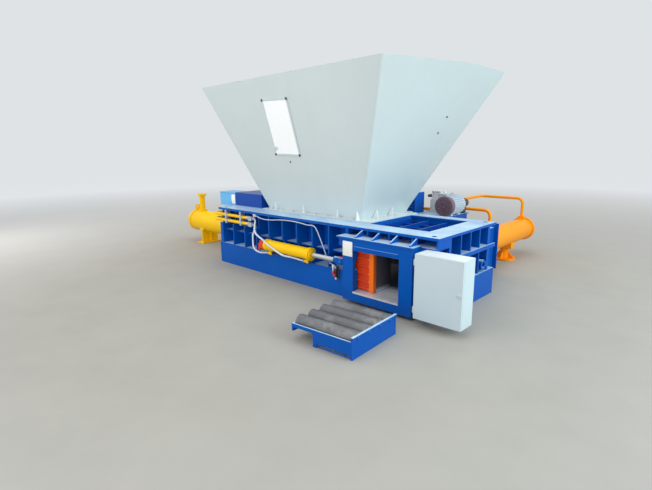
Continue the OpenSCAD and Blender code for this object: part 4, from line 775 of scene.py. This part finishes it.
def add_switch():
    """Roller-lever switch on its bracket, in place of the plain node."""
    x, z = CABLE[-1][0], 210
    bracket_y, case_y = -600, -645
    shaft_z, lever_z = z + 60, z + 122
    body = Shape()
    body.box((x - 28, bracket_y, z - 30), (x + 28, BODY_NEAR_Y, z + 110), 1.5)
    body.box((x - 20, case_y, z), (x + 20, bracket_y, z + 88), 4)
    for k in (z - 18, z + 98):
        body.hexagon((x, bracket_y, k), -Y, 15, 7)
    body.turned((x, case_y, shaft_z), -Y, ((0, 15), (4, 15), (6, 12), (20, 12)), 24)
    body.done("switch_body", "pump_iron", replaced="limit_switch")

    bits = Shape()
    bits.box((x - 16, case_y - 2.5, z + 6), (x + 16, case_y + 0.5, z + 34), 1.5)
    bits.turned((x, -662, shaft_z), -Y, ((0, 15), (5, 15), (6, 13)), 24)
    bits.done("switch_bits", "switch_red")

    arm = Shape()
    arm.box((x - 5, -665, shaft_z - 8), (x + 5, -660, lever_z), 1.5)
    arm.turned((x, -667.5, lever_z), Y, ((0, 11), (1, 12), (14, 12), (15, 11)), 28)
    arm.turned((x + 4, -622, z - 2), -Z, ((0, 11), (16, 11), (18, 8), (30, 7)), 20)
    arm.done("switch_arm", "trim_white")


def add_junction_box():
    """Small box under the top flange, where the switch's cable ends."""
    side = 40
    x1, z1 = CABLE[0][0], box_mm("top_frame")[0][2]
    x0, z0 = x1 - side, z1 - side
    box = Shape()
    box.box((x0, -603.5, z0), (x1, -579.5, z1), 2)
    box.box((x0 + 2, -606, z0 + 2), (x1 - 2, -603, z1 - 2), 1)
    for x in (x0 + 6, x1 - 6):
        for z in (z0 + 6, z1 - 6):
            box.turned((x, -605.5, z), -Y, ((0, 2.6), (1.2, 2.2), (1.6, 1)), 10)
    box.done("junction_box", "fitting_steel")


def add_cabinet_trim():
    """Seal and lock of the cabinet's door, screws and pins of its hinges, and cable glands."""
    (x0, front, z0), (x1, back, z1) = box_mm("cabinet_door")
    # the box starts at the hinges' knuckles, and the door's sheet beside them
    x0 += 14
    seal_y0, seal_y1 = back - 0.4, back + 1.4
    gap, wide = 1, 7
    seal = Shape()
    for a, b, c, d in ((x0 + gap, z0 + gap, x1 - gap, z0 + wide),
                       (x0 + gap, z1 - wide, x1 - gap, z1 - gap),
                       (x0 + gap, z0 + gap, x0 + wide, z1 - gap),
                       (x1 - wide, z0 + gap, x1 - gap, z1 - gap)):
        seal.box((a, seal_y0, b), (c, seal_y1, d), 0.4)
    seal.done("cabinet_seal", "pump_iron", "cabinet_door")

    lock_x, lock_z = x1 - 32, (z0 + z1) / 2
    lock = Shape()
    lock.turned((lock_x, front + 0.4, lock_z), -Y,
                ((0, 15), (2, 15), (3.4, 13.4), (3.4, 9.6), (1.2, 9.2)), 36)
    lock.box((lock_x - 2, front - 0.6, lock_z - 5), (lock_x + 2, front + 1.2, lock_z + 5), 0.4)
    lock.done("cabinet_lock", "cabinet_grey", "cabinet_door")

    hinge_z = (130, 556)
    gland_x, gland_y = (x0 + 100, x0 + 160, x0 + 220), -672
    screws = Shape()
    for z in hinge_z:
        for k in (z + 8, z + 32):
            screws.turned((x0 - 13, back - 5, k), -X, ((0, 4), (1.6, 4), (2.4, 2.6)), 12)
        screws.turned((x0 - 8, back - 13, z - 3), Z, ((0, 6.5), (3, 6.5)), 20)
    for x in gland_x:
        screws.hexagon((x, gland_y, 66), Z, 32, 9)
        screws.turned((x, gland_y, 40), Z, ((0, 8), (1, 12), (12, 12.5), (15, 10)), 20)
    screws.done("hinge_screws", "pump_iron")


# --- roller tray and welds --------------------------------------------------------------------

TRAY = Matrix.Translation((1565, -1015, 0)) @ Matrix.Rotation(math.radians(4), 4, "Z")
ROLLERS = 4
ROLLER_Y = -86
ROLLER_PITCH = 150
ROLLER_Z = 140
ROLLER_ENDS = ((-16.6, X), (-597.4, -X))


def add_tray_trim():
    """End plates and shaft caps that turn with their rollers, and the tray's welds."""
    for i in range(ROLLERS):
        y = ROLLER_Y - ROLLER_PITCH * i
        body = "roller_%d" % (i + 1)
        ends = Shape(TRAY)
        for x, way in ROLLER_ENDS:
            ends.turned((x, y, ROLLER_Z), way,
                        ((0, 57), (0.4, 58), (0.8, 57), (0.9, 24), (2.2, 22)), 40)
        ends.done("roller_ends_%d" % (i + 1), "roller_steel", body)
        cap = Shape(TRAY)
        cap.turned((0.1, y, ROLLER_Z), X, ((0, 19), (2.4, 19), (3.4, 16), (3.8, 8)), 32)
        cap.done("shaft_cap_%d" % (i + 1), "body_blue", body)
    welds = Shape(TRAY)
    welds.bead((-14.5, -620, 10), (-14.5, -16, 10), 4.5)
    welds.bead((-386, -607, 10), (-16, -607, 10), 4.5)
    for x in (-15, -385):
        welds.bead((x, -608.5, 38), (x, -608.5, 140), 3.5, 8)
    welds.bead((-611, -16, 74), (-611, -606, 74), 3.5, 9)
    welds.done("tray_welds", "body_blue")


def add_body_welds():
    """Long welds of the body, the door's frame, the casing and the cylinders' legs."""
    rear_x, frame_x = BODY_LOW[0] + 2, box_mm("door_frame")[0][0] - 2
    skirt_z, flange_z = BODY_HIGH[2] + 1, box_mm("top_frame")[0][2] - 1
    (_, casing_y0, casing_z), (casing_x, casing_y1, _) = box_mm("ram_housing")
    casing_z += 1
    welds = Shape()
    welds.bead((rear_x, -589, skirt_z), (frame_x, -589, skirt_z), 4.5, 12)
    welds.bead((rear_x, -586.5, flange_z), (frame_x, -586.5, flange_z), 4.0, 12)
    for x in (708, 836, 1382, 1516):
        welds.bead((x, -648, 141), (x, -648, 150), 3)
    corner = (casing_x, casing_y0, casing_z)
    welds.bead((rear_x + 2, casing_y0, casing_z), corner, 4.0, 12)
    welds.bead(corner, (casing_x, casing_y1, casing_z), 4.0, 12)
    for x in (982, 1428):
        welds.bead((x, 592, 20), (x, 592, 630), 4.0, 12)
    welds.done("body_welds", "body_blue")

    foot_z = 21
    legs = Shape()
    for x in (-3110, -2930):
        legs.bead((x, -132, foot_z), (x, 228, foot_z), 4.0, 11)
    for y in (2002, 2298):
        legs.bead((1065, y, foot_z), (1345, y, foot_z), 4.0, 11)
    legs.done("leg_welds", "cylinder_orange")


# --- power unit -------------------------------------------------------------------------------


def add_tank_trim():
    """Filler cap, cleaning cover and level gauge of the oil tank."""
    cap = (-320, 1420, box_mm("oil_tank")[1][2] - 1)
    cover = (middle_mm("oil_tank")[0], 919.5, 330)
    tank = Shape()
    tank.turned(cap, Z, ((0, 46), (4, 50), (26, 50), (32, 46), (34, 20)), 40)
    for at in circle((cap[0], cap[1], cap[2] + 5), X, Y, 50, 18):
        tank.turned(at, Z, ((0, 4), (18, 4), (20, 2.5)), 8)
    tank.turned(cover, -Y, ((0, 170), (10, 170), (12, 167)), 64)
    for at in circle((cover[0], 908, cover[2]), X, Z, 148, 12):
        tank.hexagon(at, -Y, 24, 11)
    tank.done("tank_fittings", "pump_iron")

    gauge_x, gauge_y, tank_y = -278, 906, 920
    gauge = Shape()
    gauge.box((gauge_x - 22, gauge_y, 360), (gauge_x + 22, tank_y, 620), 4)
    for z in (384, 596):
        gauge.hexagon((gauge_x, gauge_y, z), -Y, 19, 8)
    gauge.done("level_gauge", "fitting_steel")

    glass = Shape()
    glass.turned((gauge_x, gauge_y + 1, 402), Z, ((0, 6), (0.5, 7), (175, 7), (176, 6)), 20)
    glass.done("gauge_glass", "window_white")


def add_motor_lid():
    """Lid of the motor's terminal box, and its lifting eye."""
    lid_z = 966
    eye_x, eye_y = 880, 1180
    lid = Shape()
    lid.box((716, 1096, lid_z - 8), (844, 1244, lid_z), 2)
    for x in (726, 834):
        for y in (1106, 1234):
            lid.turned((x, y, lid_z), Z, ((0, 6), (3, 6), (4, 4)), 14)
    lid.turned((eye_x, eye_y, 930), Z, ((0, 16), (14, 16), (16, 12)), 24)
    lid.swept(circle((eye_x, eye_y, 963), X, Z, 17, 28), 5.5, 8, closed=True)
    lid.done("motor_lid", "motor_green")


def add_fan_guard():
    """Wire guard, blades and hub of the oil cooler's fan."""
    fan_x, _, fan_z = middle_mm("oil_cooler")
    face_y = box_mm("oil_cooler")[1][1]
    wire = 2.2

    def spoke(y, radii, start, twist=0.0):
        """Points out from the hub; twist is how much the angle grows per millimetre."""
        turns = [start + r * twist for r in radii]
        return [(fan_x + r * math.cos(t), y, fan_z + r * math.sin(t))
                for r, t in zip(radii, turns)]

    guard = Shape()
    for r in (28, 52, 76, 100, 114):
        guard.swept(circle((fan_x, face_y + 1, fan_z), X, Z, r, 48), wire, 6, closed=True)
    for k in range(8):
        guard.swept(spoke(face_y + 3.5, (20, 118), k * math.tau / 8), wire, 6)
    for k in range(7):
        blade = spoke(face_y - 15, range(20, 104, 12), k * math.tau / 7, 1 / 300)
        guard.swept(blade, 7, 6)
    guard.turned((fan_x, face_y - 30, fan_z), Y, ((0, 26), (20, 26), (26, 18)), 28)
    guard.done("fan_guard", "pump_iron")


def add_valve_coils():
    """Coils on both ends of the four valves, and the block's bolts."""
    coil = ((0, 17), (4, 19), (44, 19), (50, 15), (54, 6))
    count, inset, pitch, coil_z = 4, 25, 45, 912
    bolt_pitch = 33
    (x0, y0, _), (x1, _, z1) = box_mm("valve_block")
    valves = Shape()
    for i in range(count):
        y = y0 + inset + pitch * i
        valves.turned((x0, y, coil_z), -X, coil, 28)
        valves.turned((x1, y, coil_z), X, coil, 28)
        valves.hexagon((x0 + inset + bolt_pitch * i, y0 + 10, z1 - 0.5), Z, 15, 8)
    valves.done("valve_coils", "pump_iron")


add_plate("post_plate", 716, -722, 499, 114, 146, "bare_plate")
add_plate("box_plate", -1776, -309, 786, 76, 128, "window_white")
add_jamb_liner()
add_switch()
add_junction_box()
add_cabinet_trim()
add_tray_trim()
add_body_welds()
add_tank_trim()
add_motor_lid()
add_fan_guard()
add_valve_coils()

# --- floor, backdrop and light ----------------------------------------------------------------

FLOOR = (0.42, 0.395, 0.355)
FLOOR_HALF_M = 160.0
WHITE_FROM_M, WHITE_AT_M = 3.0, 15.0
FAR = 0.93
SKY = 0.85
SKY_TINT = (0.93, 0.97, 1.0)
WHITE = (1, 1, 1)
ALL_ROUND = 180
# name, place, aim, width in metres, watts, colour, spread in degrees
LIGHTS = (
    ("key", (1.5, -5.5, 6.0), (0, 0, 0.6), 5.0, 90, WHITE, ALL_ROUND),
    ("right", (7.5, 0.5, 3.5), (0.5, 0, 1.1), 4.0, 122, (0.74, 0.95, 1.0), 110),
    ("left", (-6.0, -3.5, 2.5), (-2.6, 0, 0.4), 2.5, 60, WHITE, ALL_ROUND),
    ("over", (-0.5, 1.0, 7.5), (-0.2, 0, 0), 6.0, 110, WHITE, ALL_ROUND),
    ("front_low", (1.8, -5.2, 0.5), (-0.3, -0.6, 1.5), 2.6, 17, WHITE, 75),
)


def add_floor():
    """A grey floor that turns white far away, where it meets the backdrop."""
    mesh = bpy.data.meshes.new("floor")
    r = FLOOR_HALF_M
    mesh.from_pydata([(-r, -r, 0), (r, -r, 0), (r, r, 0), (-r, r, 0)], [], [(0, 1, 2, 3)])
    floor = bpy.data.objects.new("floor", mesh)
    n = Nodes("floor")
    speck = n.noise(2.2, 6.0, 0.65)
    near = n.mix(n.ramp(speck, 0.3, 0.7), tint(FLOOR, 0.96), tint(FLOOR, 1.03))
    away = n.add("ShaderNodeVectorMath", operation="LENGTH")
    n.link(n.place, away.inputs[0])
    n.colour(n.mix(n.ramp(away.outputs["Value"], WHITE_FROM_M, WHITE_AT_M), near,
                   (FAR, FAR, FAR)))
    n.set(Roughness=1.0, Specular_IOR_Level=0.0)
    mesh.materials.append(n.mat)
    bpy.context.scene.collection.objects.link(floor)


def add_light(name, at, aim, size, power, colour, spread):
    """A round area lamp that faces aim."""
    data = bpy.data.lights.new(name, "AREA")
    data.shape = "DISK"
    data.size = size
    data.energy = power
    data.color = colour
    data.spread = math.radians(spread)
    lamp = bpy.data.objects.new(name, data)
    lamp.location = at
    lamp.rotation_euler = (Vector(aim) - Vector(at)).to_track_quat("-Z", "Y").to_euler()
    bpy.context.scene.collection.objects.link(lamp)


def add_world():
    """Even light from all round; the camera sees it in the tone of the floor far away."""
    world = bpy.data.worlds.new("studio")
    bpy.context.scene.world = world
    world.use_nodes = True
    tree = world.node_tree
    tree.nodes.clear()

    def background(share):
        """The sky at a share of its tone."""
        node = tree.nodes.new("ShaderNodeBackground")
        node.inputs["Color"].default_value = (*(share * c for c in SKY_TINT), 1)
        node.inputs["Strength"].default_value = SKY
        return node.outputs[0]

    path = tree.nodes.new("ShaderNodeLightPath")
    rays = path.outputs["Is Camera Ray"]
    for more in ("Is Glossy Ray", "Is Transmission Ray"):
        either = tree.nodes.new("ShaderNodeMath")
        either.operation = "MAXIMUM"
        tree.links.new(rays, either.inputs[0])
        tree.links.new(path.outputs[more], either.inputs[1])
        rays = either.outputs[0]
    pick = tree.nodes.new("ShaderNodeMixShader")
    tree.links.new(rays, pick.inputs[0])
    tree.links.new(background(1.0), pick.inputs[1])
    tree.links.new(background(FAR), pick.inputs[2])
    out = tree.nodes.new("ShaderNodeOutputWorld")
    tree.links.new(pick.outputs[0], out.inputs["Surface"])


add_floor()
add_world()
for light in LIGHTS:
    add_light(*light)
bpy.context.scene.view_settings.view_transform = "Standard"
bpy.context.scene.view_settings.look = "None"
